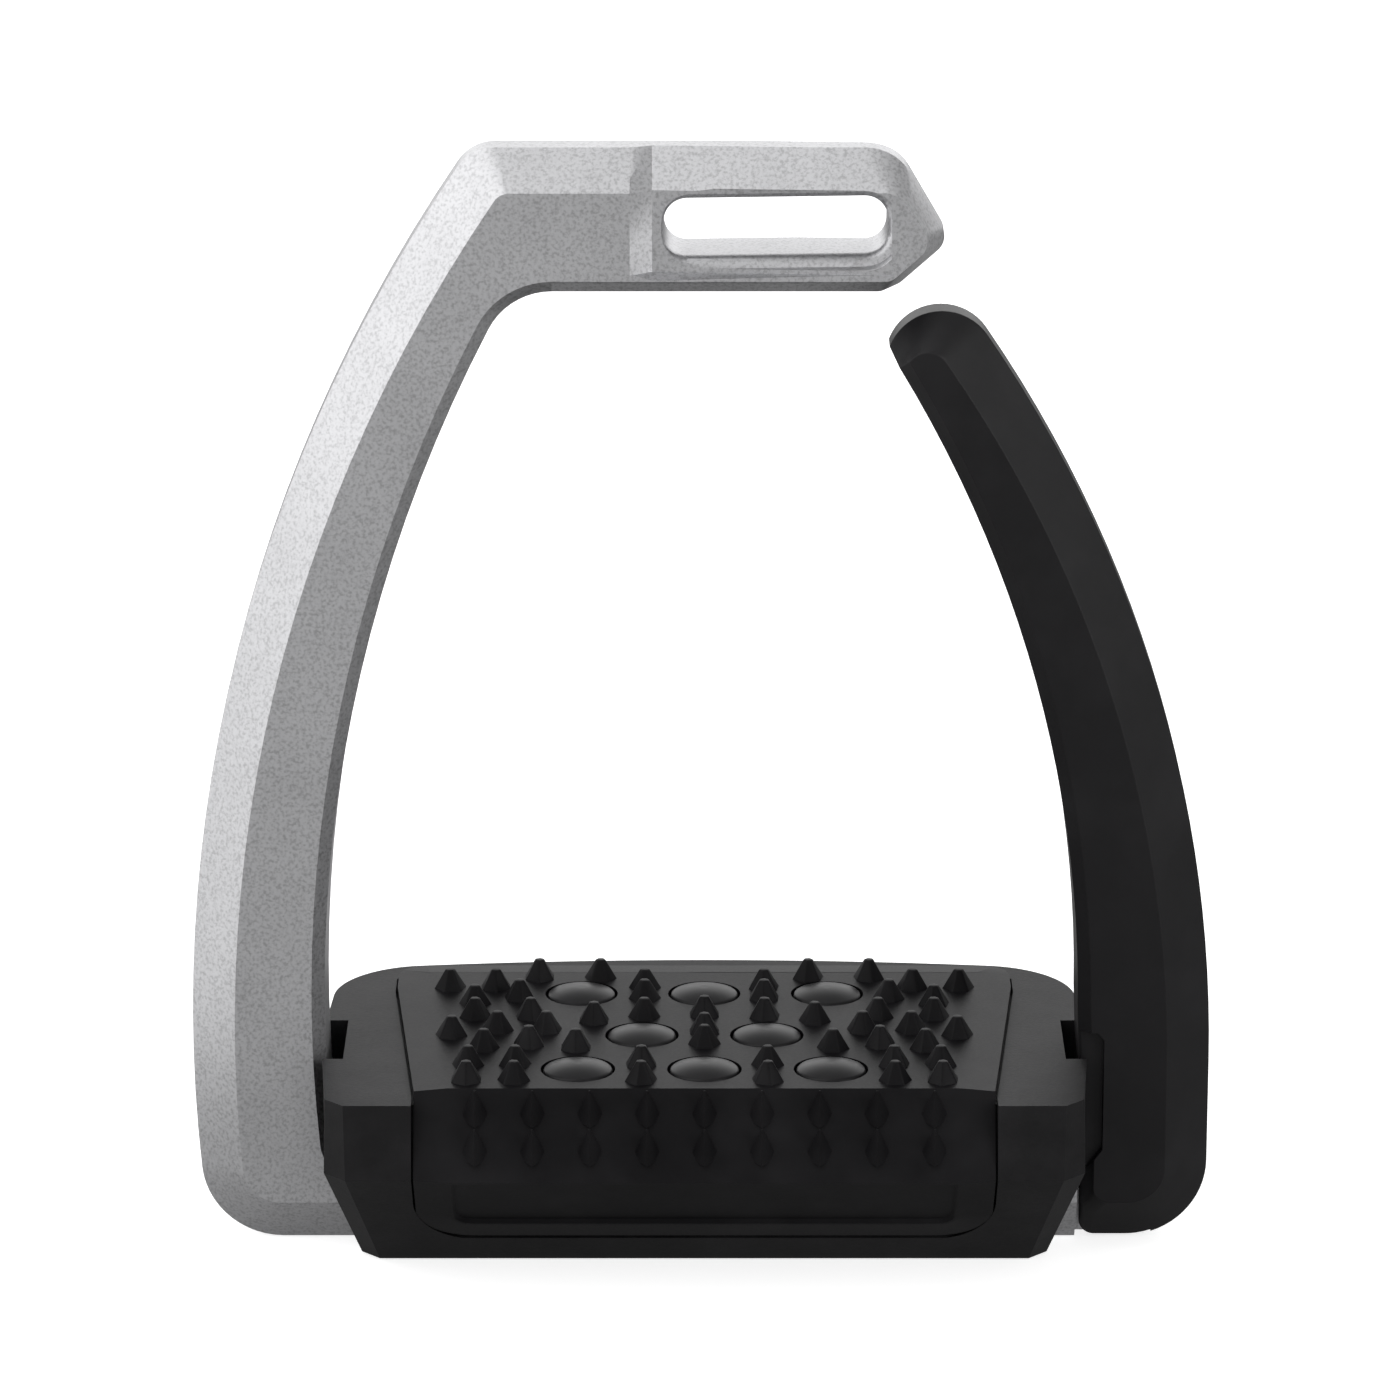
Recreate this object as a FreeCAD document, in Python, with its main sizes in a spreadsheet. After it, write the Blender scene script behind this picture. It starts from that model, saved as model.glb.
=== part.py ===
import FreeCAD, Part
import Sketcher
import math
import os
from FreeCAD import Placement, Rotation, Vector

# Safety stirrup iron with an opening outer branch.
# X runs from the fixed branch to the release arm, Y runs back, away from the rider's toe,
# and Z runs up.  The origin is on the ground under the middle of the stirrup.

DOC = FreeCAD.newDocument("stirrup_iron")
SHEET = DOC.addObject("Spreadsheet::Sheet", "Sizes")

# Driving sizes in millimetres and degrees: alias, value, what it is.
SIZES = (
    ("overall_height", 179.6, "ground to the top of the eye bar"),
    ("inner_width", 120.0, "clear width between the two branches at the tread"),
    ("branch_width", 21.4, "branch width in the plane of the frame"),
    ("branch_depth", 17.0, "branch and bar depth, front face to rear face"),
    ("branch_middle", -3.5, "mid-plane of the branches, in front of the tread's middle"),
    ("side_flat", 5.0, "flat left on the outer side between the two bevels"),
    ("side_bevel", 7.1, "outer bevel's width across the branch"),
    ("top_bevel", 5.9, "outer bevel's height on the eye bar"),
    ("bottom_bevel", 8.0, "outer bevel's height under the frame"),
    ("nose_bevel", 2.2, "bevel width round the nose of the eye bar"),
    ("inner_bevel", 2.0, "bevel on the inner edges"),
    ("fixed_outer_curve", 254.0, "outer side radius of the fixed branch"),
    ("fixed_outer_start", 34.0, "height where that outer side is upright"),
    ("fixed_inner_curve", 244.0, "inner side radius of the fixed branch"),
    ("inner_start", 40.0, "height where both inner sides are upright"),
    ("shoulder_round", 7.0, "outer corner from branch to eye bar"),
    ("heel_round", 13.0, "outer corner at the bottom of each branch"),
    ("eye_corner_round", 11.0, "inner corner under the eye bar"),
    ("sole_corner_round", 3.0, "inner corner on the crossbar"),
    ("crossbar_height", 15.0, "aluminium crossbar under the tread"),
    ("bar_height", 21.8, "height of the eye bar"),
    ("nose_reach", 38.4, "sharp point of the nose, from the middle"),
    ("nose_drop", 14.6, "that point, below the top of the eye bar"),
    ("nose_top_reach", 29.9, "where the nose leaves the top of the bar"),
    ("nose_under_reach", 30.3, "where the nose leaves the underside of the bar"),
    ("nose_top_round", 8.0, "rounding at the top of the nose"),
    ("nose_tip_round", 3.0, "rounding at the point of the nose"),
    ("nose_under_round", 2.5, "rounding under the nose"),
    ("slot_middle", 11.5, "middle of the leather slot, from the middle"),
    ("slot_width", 34.6, "leather slot, across"),
    ("slot_height", 9.0, "leather slot, up"),
    ("slot_base", 5.4, "bar left under the slot"),
    ("slot_round", 3.6, "corner radius of the slot"),
    ("slot_lip", 1.8, "rounding of the slot's rims"),
    ("sink_depth", 2.4, "depth of the sunk leather seat at its deep end"),
    ("sink_top_depth", 1.5, "the same, at the top flat of the bar"),
    ("sink_step", 21.1, "step of the leather seat, from the slot's middle"),
    ("sink_slope", 2.0, "half the run of that step's slope"),
    ("sink_fade", 20.0, "where the leather seat runs out, from the slot's middle"),
    ("sink_below", 2.4, "lower side of the leather seat, below the slot"),
    ("seat_start", 0.4, "how far outside the bar's face the leather seat starts"),
    ("seat_fade_lift", 0.8, "height over the bar's top flat where the seat runs out"),
    ("arm_outer_curve", 213.0, "outer side radius of the release arm"),
    ("arm_outer_start", 30.0, "height where that outer side is upright"),
    ("arm_inner_curve", 205.0, "inner side radius of the release arm"),
    ("arm_gap", 4.1, "opening between the eye bar and the top of the release arm"),
    ("arm_end_round", 8.6, "rounding of the release arm's free end"),
    ("arm_end_bevel", 5.2, "bevel across the arm's end"),
    ("foot_gap", 0.6, "gap between the crossbar's end and the arm's foot"),
    ("foot_round", 2.5, "inner bottom corner of the arm's foot"),
    ("crossbar_past", 0.3, "end face of the crossbar, beyond the clear width"),
    ("relief_depth", 1.6, "recess in the arm beside the tread"),
    ("relief_width", 4.2, "width of that recess, from the inner side"),
    ("hinge_past", 8.5, "hinge axis, beyond the clear width"),
    ("hinge_up", 4.2, "hinge axis, above the ground"),
    ("tongue_thick", 3.0, "hinge tongue on the crossbar"),
    ("tongue_radius", 3.6, "outer radius of the tongue's eye"),
    ("tongue_gap", 1.3, "room on each side of the tongue, for the springs"),
    ("tongue_clear", 0.5, "room round the tongue's end and top"),
    ("pin_radius", 1.5, "hinge pin"),
    ("bush_wall", 0.6, "bronze bush round the pin"),
    ("running_gap", 0.05, "pin in bush, on the radius"),
    ("pin_cover", 1.1, "plastic left over the pin's ends"),
    ("spring_wire", 0.8, "return spring wire, across"),
    ("stop_pad_up", 9.0, "bottom of the stop pad"),
    ("stop_pad_height", 3.4, "stop pad, up"),
    ("stop_pad_depth", 11.0, "stop pad, front to back"),
    ("stop_pad_sunk", 1.0, "part of the stop pad sunk in the crossbar"),
    ("stop_pad_proud", 0.3, "part of the stop pad standing proud"),
    ("tread_shift", 0.5, "middle of the tread, from the middle of the stirrup"),
    ("deck_height", 32.8, "top of the casing's deck"),
    ("deck_half", 34.0, "casing deck, middle to front edge"),
    ("deck_bow", 2.8, "how far the rear edge bows back beyond its corners"),
    ("deck_corner", 15.0, "rear corner of the deck, front to back"),
    ("deck_ear", 1.6, "end of the casing deck, beyond the clear width"),
    ("deck_taper", 2.0, "narrowing of the deck's ends towards the front"),
    ("ridge_height", 21.0, "height of the casing's widest line"),
    ("ridge_out", 2.0, "how far that line stands out beyond the deck edge"),
    ("sole_half", 16.0, "underside of the casing, middle to front edge"),
    ("sole_inset", 4.0, "end of the casing's underside, inside the clear width"),
    ("edge_chamfer", 3.0, "cut-off front corners of the casing"),
    ("notch_inset", 2.4, "casing's notch for a branch, inside the clear width"),
    ("notch_gap", 0.7, "room between the notch and the branch, front"),
    ("channel_gap", 0.3, "room round the crossbar in the casing"),
    ("pad_top", 34.3, "top of the grip pad"),
    ("pad_thick", 3.3, "grip pad thickness"),
    ("pad_rear_edge", 29.5, "top rear edge of the pad, from the middle"),
    ("pad_rear_corner", 4.5, "cut-off rear corners of the pad"),
    ("pad_rear_inset", 9.8, "grip pad's side at the rear, inside the clear width"),
    ("pad_front_inset", 14.4, "grip pad's side at the front, inside the clear width"),
    ("pad_front_edge", 30.4, "top front edge of the pad, from the middle"),
    ("pad_ridge", 36.9, "pad's front ridge, from the middle"),
    ("pad_lower", 22.2, "lower front edge of the pad, from the middle"),
    ("pad_lower_height", 5.8, "height of that lower edge"),
    ("pad_corner", 9.0, "lower corners of the pad"),
    ("panel_sunk", 0.6, "depth of the sunk panel in the pad's lower front"),
    ("panel_side", 5.2, "pad's rim left beside that panel"),
    ("panel_low", 5.0, "pad's rim left under the panel, along the slope"),
    ("panel_high", 1.2, "pad's rim left over the panel, along the slope"),
    ("panel_corner", 4.5, "corners of the panel"),
    ("seam_gap", 0.35, "seam between pad and casing"),
    ("spike_height", 3.2, "deck spike"),
    ("spike_base", 2.15, "deck spike's base radius"),
    ("inner_front_part", 0.55, "pad's inner front edge, set back, in wall thicknesses"),
    ("inner_ridge_part", 1.1, "the same at the pad's ridge"),
    ("inner_low_part", 0.8, "the same at the pad's lower edge"),
    ("corner_cut_back", 4.0, "where the pad's corner cuts start, from its middle line"),
    ("rear_extra", 0.8, "the tread's rear half, deeper than its front half"),
    ("ridge_inset", 0.8, "the tread's ends at the ridge, inside those of the deck"),
    ("ridge_chamfer_extra", 0.5, "widening of the tread's corner chamfer at the ridge"),
    ("sole_bow", 0.5, "bow of the sole's long sides"),
    ("sole_taper", 1.0, "taper of the sole's ends"),
    ("sole_plan_corner", 5.0, "corners of the sole, seen from above"),
    ("spike_tip", 0.55, "spike's tip radius"),
    ("lip_spike_pitch", 9.0, "front spikes, side to side"),
    ("lip_spike_base", 1.7, "front spike's base radius"),
    ("lip_spike_height", 3.6, "front spike"),
    ("button_radius", 5.5, "domed button"),
    ("button_gap", 0.4, "ring gap round a button"),
    ("button_crown", 1.2, "height of the button's dome"),
    ("button_pitch", 20.0, "buttons, side to side"),
    ("cushion_thick", 3.0, "elastic plate under the pad"),
    ("cushion_half_long", 34.0, "elastic plate, middle to end"),
    ("cushion_front", 28.0, "elastic plate, middle to front edge"),
    ("cushion_rear", 22.0, "elastic plate, middle to rear edge"),
    ("screw_radius", 2.0, "tread screw"),
    ("screw_head", 3.5, "tread screw's head radius"),
    ("screw_head_high", 3.0, "tread screw's head"),
    ("screw_sunk", 0.6, "depth of that head above the underside"),
    ("screw_spacing", 24.0, "tread screws, side to side"),
    ("insert_radius", 3.2, "threaded insert"),
    ("insert_high", 7.0, "threaded insert, up"),
    ("pad_screw_radius", 1.5, "grip pad screw"),
    ("pad_screw_head", 2.8, "grip pad screw's head radius"),
    ("pad_screw_inset", 18.0, "grip pad screws, inside the clear width"),
    ("pad_screw_front", 8.0, "front pair of pad screws, ahead of the tread's middle"),
    ("pad_screw_rear", 12.0, "rear pair of pad screws, behind the tread's middle"),
    ("pad_screw_cover", 0.9, "pad left over the end of a pad screw's thread"),
    ("pad_screw_floor", 5.0, "casing left under the pad at its screws"),
)

for row, (alias, value, note) in enumerate(SIZES, start=1):
    SHEET.set(f"A{row}", note)
    SHEET.set(f"B{row}", str(value))
    SHEET.setAlias(f"B{row}", alias)
DOC.recompute()


def size(alias):
    """The value of one cell of the sheet, or of a size that follows from it."""
    if alias in FOLLOWING:
        side, sign, reach = FOLLOWING[alias]
        return size(side) / 2 + sign * size(reach)
    return float(SHEET.get(alias))


def bind(thing, **properties):
    """Tie properties of an object to expressions in the sheet's aliases."""
    for name, expression in properties.items():
        thing.setExpression(name.replace("__", "."), in_sheet(expression))


def in_sheet(expression):
    """The same expression with each alias written as a cell of the sheet."""
    words = []
    word = ""
    for letter in expression + " ":
        if letter.isalnum() or letter == "_":
            word += letter
            continue
        if word in FOLLOWING:
            side, sign, reach = FOLLOWING[word]
            word = f"(Sizes.{side} / 2 + {sign} * Sizes.{reach})"
        words.append(f"Sizes.{word}" if word in ALIASES else word)
        words.append(letter)
        word = ""
    return "".join(words).strip()


ALIASES = {alias for alias, _, _ in SIZES}

# Sizes across the stirrup that follow its clear width: half the width, plus or minus a reach.
FOLLOWING = {
    "crossbar_end": ("inner_width", 1, "crossbar_past"),
    "hinge_out": ("inner_width", 1, "hinge_past"),
    "deck_end": ("inner_width", 1, "deck_ear"),
    "sole_end": ("inner_width", -1, "sole_inset"),
    "notch_wall": ("inner_width", -1, "notch_inset"),
    "pad_rear_half": ("inner_width", -1, "pad_rear_inset"),
    "pad_front_half": ("inner_width", -1, "pad_front_inset"),
    "pad_screw_side": ("inner_width", -1, "pad_screw_inset"),
}

FRONT_FACE = "(branch_middle - branch_depth / 2)"
REAR_FACE = "(branch_middle + branch_depth / 2)"
FLAT_FRONT = "(branch_middle - side_flat / 2)"
FLAT_REAR = "(branch_middle + side_flat / 2)"


def new_body(label):
    """An empty body with its own label."""
    body = DOC.addObject("PartDesign::Body", label)
    body.Label = label
    return body


def new_sketch(body, name, plane, shift="0"):
    """A sketch on one of the body's origin planes, moved along its normal.

    On XZ the normal points to -Y, so a shift of -y stands at Y = y.
    """
    sketch = body.newObject("Sketcher::SketchObject", name)
    origin = [item for item in body.Origin.OriginFeatures if item.Role == plane][0]
    sketch.AttachmentSupport = (origin, "")
    sketch.MapMode = "FlatFace"
    bind(sketch, AttachmentOffset__Base__z=shift)
    return sketch


def draw(sketch, path):
    """Add a closed outline given as a list of 2-point lines and 3-point arcs."""
    for points in path:
        corners = [Vector(across, up, 0) for across, up in points]
        if len(corners) == 3:
            sketch.addGeometry(Part.Arc(*corners), False)
        else:
            sketch.addGeometry(Part.LineSegment(*corners), False)


def draw_polygon(sketch, corners):
    """A closed polygon whose corners are tied to expressions in the sheet."""
    places = [
        (float(sketch.evalExpression(in_sheet(across))), float(sketch.evalExpression(in_sheet(up))))
        for across, up in corners
    ]
    count = len(places)
    for index in range(count):
        start = Vector(*places[index], 0)
        end = Vector(*places[(index + 1) % count], 0)
        sketch.addGeometry(Part.LineSegment(start, end), False)
    for index in range(count):
        sketch.addConstraint(Sketcher.Constraint("Coincident", index, 2, (index + 1) % count, 1))
    for index, (across, up) in enumerate(corners):
        for kind, place, expression in (
            ("DistanceX", places[index][0], across),
            ("DistanceY", places[index][1], up),
        ):
            number = sketch.addConstraint(Sketcher.Constraint(kind, index, 1, place))
            sketch.setExpression(f"Constraints[{number}]", in_sheet(expression))


def draw_rectangle(sketch, left, bottom, right, top):
    """A rectangle between two corners given as expressions."""
    draw_polygon(sketch, [(left, bottom), (right, bottom), (right, top), (left, top)])


def draw_circle(sketch, across, up, radius):
    """A circle whose centre and radius are tied to expressions."""
    centre = Vector(
        float(sketch.evalExpression(in_sheet(across))),
        float(sketch.evalExpression(in_sheet(up))),
        0,
    )
    amount = float(sketch.evalExpression(in_sheet(radius)))
    circle = sketch.addGeometry(Part.Circle(centre, Vector(0, 0, 1), amount), False)
    for kind, place, expression in (
        ("DistanceX", centre.x, across),
        ("DistanceY", centre.y, up),
    ):
        number = sketch.addConstraint(Sketcher.Constraint(kind, circle, 3, place))
        sketch.setExpression(f"Constraints[{number}]", in_sheet(expression))
    number = sketch.addConstraint(Sketcher.Constraint("Radius", circle, amount))
    sketch.setExpression(f"Constraints[{number}]", in_sheet(radius))


def pad(body, sketch, name, length, both_ways=False, backwards=False):
    """Pad a sketch by a length in the sheet."""
    feature = body.newObject("PartDesign::Pad", name)
    feature.Profile = sketch
    feature.Midplane = both_ways
    feature.Reversed = backwards
    bind(feature, Length=length)
    return feature


def pocket(body, sketch, name, length, both_ways=False, backwards=False):
    """Cut a sketch into the body and make sure that something was cut."""
    DOC.recompute()
    before = body.Shape.Volume
    feature = body.newObject("PartDesign::Pocket", name)
    feature.Profile = sketch
    feature.Midplane = both_ways
    feature.Reversed = backwards
    bind(feature, Length=length)
    DOC.recompute()
    if body.Shape.Volume >= before - 0.01:
        raise RuntimeError(f"{name} cuts nothing")
    return feature


def loft(body, name, kind, sketches):
    """A ruled loft through sketches, added to the body or cut from it."""
    feature = body.newObject(kind, name)
    feature.Profile = sketches[0]
    feature.Sections = sketches[1:]
    feature.Ruled = True
    return feature


# ---------------------------------------------------------------- outlines

def circle_level_corner(centre, radius, level, inward, corner):
    """Round corner between the left side of a circle and a level line.

    inward is -1 where the corner lies under the line and +1 where it lies over it.
    The result runs from the circle to the line: start, middle, end.
    """
    up = level + inward * corner
    across = centre[0] - math.sqrt((radius - corner) ** 2 - (up - centre[1]) ** 2)
    reach = radius / (radius - corner)
    start = (
        centre[0] + (across - centre[0]) * reach,
        centre[1] + (up - centre[1]) * reach,
    )
    end = (across, level)
    return start, bulge((across, up), corner, start, end), end


def bulge(centre, radius, start, end):
    """The point halfway along the short arc from start to end."""
    across = start[0] + end[0] - 2 * centre[0]
    up = start[1] + end[1] - 2 * centre[1]
    length = math.hypot(across, up)
    return (centre[0] + radius * across / length, centre[1] + radius * up / length)


def line_corner(before, corner, after, radius):
    """Round corner between two straight lines: start, middle, end."""
    way_in = unit(before, corner)
    way_out = unit(after, corner)
    cosine = way_in[0] * way_out[0] + way_in[1] * way_out[1]
    half = math.acos(cosine) / 2
    run = radius / math.tan(half)
    start = (corner[0] + way_in[0] * run, corner[1] + way_in[1] * run)
    end = (corner[0] + way_out[0] * run, corner[1] + way_out[1] * run)
    middle = unit((way_in[0] + way_out[0], way_in[1] + way_out[1]), (0, 0))
    reach = radius / math.sin(half) - radius
    return start, (corner[0] + middle[0] * reach, corner[1] + middle[1] * reach), end


def unit(point, origin):
    """Direction from origin to point."""
    across = point[0] - origin[0]
    up = point[1] - origin[1]
    length = math.hypot(across, up)
    return (across / length, up / length)


def moved_in(start, end, inset):
    """A line moved to its right by inset."""
    along = unit(end, start)
    side = (along[1] * inset, -along[0] * inset)
    return (start[0] + side[0], start[1] + side[1]), (end[0] + side[0], end[1] + side[1])


def crossing(first, second):
    """Where two endless lines cross."""
    (x1, y1), (x2, y2) = first
    (x3, y3), (x4, y4) = second
    under = (x1 - x2) * (y3 - y4) - (y1 - y2) * (x3 - x4)
    one = x1 * y2 - y1 * x2
    two = x3 * y4 - y3 * x4
    return (
        (one * (x3 - x4) - (x1 - x2) * two) / under,
        (one * (y3 - y4) - (y1 - y2) * two) / under,
    )


def mirrored(points):
    """The same points on the other side of X = 0."""
    return tuple((-across, up) for across, up in points)


def side_middle(centre, radius, start, end):
    """The point halfway up the left side of a circle between two of its points."""
    up = (start[1] + end[1]) / 2
    return (centre[0] - math.sqrt(radius ** 2 - (up - centre[1]) ** 2), up)


def frame_outline(outer, inner):
    """The frame's C-shaped outline.

    outer is the share of the outer bevels taken off, 0 to 1, and inner the inset of
    the inner edges.
    """
    half = size("inner_width") / 2
    side = size("side_bevel") * outer
    top = size("overall_height") - size("top_bevel") * outer
    bottom = size("bottom_bevel") * outer
    under = size("overall_height") - size("bar_height") + inner
    sole = size("crossbar_height") - inner
    nose = size("nose_bevel") * outer

    outer_radius = size("fixed_outer_curve")
    outer_centre = (outer_radius - half - size("branch_width"), size("fixed_outer_start"))
    inner_radius = size("fixed_inner_curve")
    inner_centre = (inner_radius - half, size("inner_start"))
    inner_radius += inner
    heel = circle_level_corner(
        outer_centre, outer_radius - side, bottom, 1, size("heel_round") - side
    )
    shoulder = circle_level_corner(
        outer_centre, outer_radius - side, top, -1, size("shoulder_round") * (1 - 0.6 * outer)
    )
    eye = circle_level_corner(
        inner_centre, inner_radius, under, -1, size("eye_corner_round") + inner
    )
    corner = circle_level_corner(
        inner_centre, inner_radius, sole, 1, size("sole_corner_round") + inner
    )

    tip = (size("nose_reach"), size("overall_height") - size("nose_drop"))
    upper = moved_in((size("nose_top_reach"), size("overall_height")), tip, nose)
    lower = moved_in(tip, (size("nose_under_reach"), size("overall_height") - size("bar_height")),
                     nose)
    level_top = ((0, top), (1, top))
    level_under = ((0, under), (1, under))
    nose_top = crossing(level_top, upper)
    nose_tip = crossing(upper, lower)
    nose_low = crossing(lower, level_under)
    crown = line_corner((0, top), nose_top, nose_tip, size("nose_top_round") - nose)
    point = line_corner(nose_top, nose_tip, nose_low, size("nose_tip_round"))
    chin = line_corner(nose_tip, nose_low, (0, under), size("nose_under_round"))

    end = size("crossbar_end")
    return [
        ((end, bottom), heel[2]),
        heel[::-1],
        (heel[0], side_middle(outer_centre, outer_radius - side, heel[0], shoulder[0]),
         shoulder[0]),
        shoulder,
        (shoulder[2], crown[0]),
        crown,
        (crown[2], point[0]),
        point,
        (point[2], chin[0]),
        chin,
        (chin[2], eye[2]),
        eye[::-1],
        (eye[0], side_middle(inner_centre, inner_radius, eye[0], corner[0]), corner[0]),
        corner,
        (corner[2], (end, sole)),
        ((end, sole), (end, bottom)),
    ]


def arm_outline(outer, inner):
    """The release arm's outline, with the same two insets as the frame's."""
    half = size("inner_width") / 2
    side = size("side_bevel") * outer
    bottom = size("bottom_bevel") * outer
    arm_top = size("overall_height") - size("bar_height") - size("arm_gap")
    top = arm_top - size("arm_end_bevel") * outer
    foot = size("crossbar_end") + size("foot_gap") + inner

    outer_radius = size("arm_outer_curve")
    outer_centre = (outer_radius - half - size("branch_width"), size("arm_outer_start"))
    inner_radius = size("arm_inner_curve")
    inner_centre = (inner_radius - half, size("inner_start"))
    inner_radius += inner
    outer_radius -= side

    # Worked out as a left-hand branch, with its lower side straight, and mirrored at the end.
    wall = outer_centre[0] - outer_radius
    wall_top = (wall, outer_centre[1])
    heel = line_corner(wall_top, (wall, bottom), (-half, bottom), size("heel_round") - side)
    tip_round = size("arm_end_round") - size("arm_end_bevel") * outer
    tip = circle_level_corner(outer_centre, outer_radius, top, -1, tip_round)
    tip_centre = (tip[2][0], top - tip_round)
    end = upper_crossing(tip_centre, tip_round, inner_centre, inner_radius)
    toe = line_corner((-foot, top), (-foot, bottom), (-half - 2 * size("branch_width"), bottom),
                      size("foot_round"))
    knee = (-foot, size("crossbar_height") + size("inner_bevel"))
    inner_wall = (-half - inner, size("inner_start"))
    path = [
        (toe[0], toe[1], toe[2]),
        (toe[2], heel[2]),
        heel[::-1],
        (heel[0], wall_top),
        (wall_top, side_middle(outer_centre, outer_radius, wall_top, tip[0]), tip[0]),
        (tip[0], tip[2], end),
        (end, side_middle(inner_centre, inner_radius, end, inner_wall), inner_wall),
        (inner_wall, knee),
        (knee, toe[0]),
    ]
    return [mirrored(points) for points in path]


def upper_crossing(first, first_radius, second, second_radius):
    """The upper one of the two points where two circles cross."""
    across = second[0] - first[0]
    up = second[1] - first[1]
    gap = math.hypot(across, up)
    along = (first_radius ** 2 - second_radius ** 2 + gap ** 2) / (2 * gap)
    off = math.sqrt(first_radius ** 2 - along ** 2)
    foot = (first[0] + across * along / gap, first[1] + up * along / gap)
    points = [
        (foot[0] + turn * up * off / gap, foot[1] - turn * across * off / gap)
        for turn in (-1, 1)
    ]
    return max(points, key=lambda point: point[1])


def section_stations():
    """Planes through a branch from rear to front: Y, share of the bevel, inner inset."""
    bevel_run = f"({FLAT_FRONT} - {FRONT_FACE})"
    kept = 1 - size("inner_bevel") / ((size("branch_depth") - size("side_flat")) / 2)
    return (
        (f"{REAR_FACE}", 1, size("inner_bevel")),
        (f"{REAR_FACE} - inner_bevel", kept, 0),
        (f"{REAR_FACE} - {bevel_run}", 0, 0),
        (f"{FLAT_FRONT}", 0, 0),
        (f"{FRONT_FACE} + inner_bevel", kept, 0),
        (f"{FRONT_FACE}", 1, size("inner_bevel")),
    )


def branch_loft(body, outline):
    """Loft a branch's outline through all its stations."""
    sketches = []
    for number, (place, outer, inner) in enumerate(section_stations(), start=1):
        sketch = new_sketch(body, f"{body.Label}_section_{number}", "XZ_Plane", f"-({place})")
        draw(sketch, outline(outer, inner))
        sketches.append(sketch)
    loft(body, f"{body.Label}_blank", "PartDesign::AdditiveLoft", sketches)


# ---------------------------------------------------------------- frame

SLOT_BOTTOM = "(overall_height - bar_height + slot_base)"
SLOT_TOP = f"({SLOT_BOTTOM} + slot_height)"


def make_frame():
    """Fixed branch, eye bar and crossbar in one piece of aluminium."""
    body = new_body("frame")
    branch_loft(body, frame_outline)
    cut_leather_seat(body, "front", 1)
    cut_leather_seat(body, "rear", -1)
    cut_leather_slot(body)
    add_tongue(body)
    cut_crossbar(body)
    return body


def cut_leather_seat(body, name, side):
    """Sunk seat for the leather on one side of the eye bar, deep at one end."""
    face = FRONT_FACE if side == 1 else REAR_FACE
    flat = FLAT_FRONT if side == 1 else FLAT_REAR
    crease = "(overall_height - top_bevel)"
    low = f"({SLOT_BOTTOM} - sink_below)"
    stations = (
        ("-sink_step - sink_slope", "-seat_start", "-seat_start"),
        ("-sink_step + sink_slope", "sink_depth", "sink_top_depth"),
        ("sink_fade", "0", "-seat_fade_lift"),
    )
    sketches = []
    for number, (across, depth, top_depth) in enumerate(stations, start=1):
        sketch = new_sketch(body, f"seat_{name}_{number}", "YZ_Plane",
                            f"slot_middle + {side} * ({across})")
        outside = f"({face} - {side} * 4)"
        floor = f"({face} + {side} * ({depth}))"
        top_floor = f"({flat} + {side} * ({top_depth}))"
        draw_polygon(sketch, [
            (outside, f"{low} - ({depth})"),
            (floor, low),
            (floor, crease),
            (top_floor, "overall_height + 0.02"),
            (top_floor, "overall_height + 2"),
            (outside, "overall_height + 2"),
        ])
        sketches.append(sketch)
    DOC.recompute()
    before = body.Shape.Volume
    loft(body, f"seat_{name}", "PartDesign::SubtractiveLoft", sketches)
    DOC.recompute()
    if body.Shape.Volume >= before:
        raise RuntimeError(f"seat_{name} cuts nothing")


def rounded_box(left, bottom, right, top, corner):
    """A rectangle with rounded corners, as lines and arcs."""
    corners = ((left, bottom), (right, bottom), (right, top), (left, top))
    path = []
    rounds = []
    for index, place in enumerate(corners):
        before = corners[index - 1]
        after = corners[(index + 1) % 4]
        rounds.append(line_corner(before, place, after, corner))
    for index, arc in enumerate(rounds):
        path.append(arc)
        path.append((arc[2], rounds[(index + 1) % 4][0]))
    return path


def slot_outline(spread):
    """The slot's outline, widened all round by spread."""
    low = size("overall_height") - size("bar_height") + size("slot_base")
    half = size("slot_width") / 2
    middle = size("slot_middle")
    return rounded_box(middle - half - spread, low - spread, middle + half + spread,
                       low + size("slot_height") + spread, size("slot_round") + spread)


def cut_leather_slot(body):
    """The slot that the stirrup leather runs through, with rounded rims."""
    sketch = new_sketch(body, "slot_sketch", "XZ_Plane")
    draw(sketch, slot_outline(0))
    pocket(body, sketch, "slot", "4 * branch_depth", both_ways=True)
    cut_slot_rim(body, "front", FRONT_FACE, 1)
    cut_slot_rim(body, "rear", REAR_FACE, -1)


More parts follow.
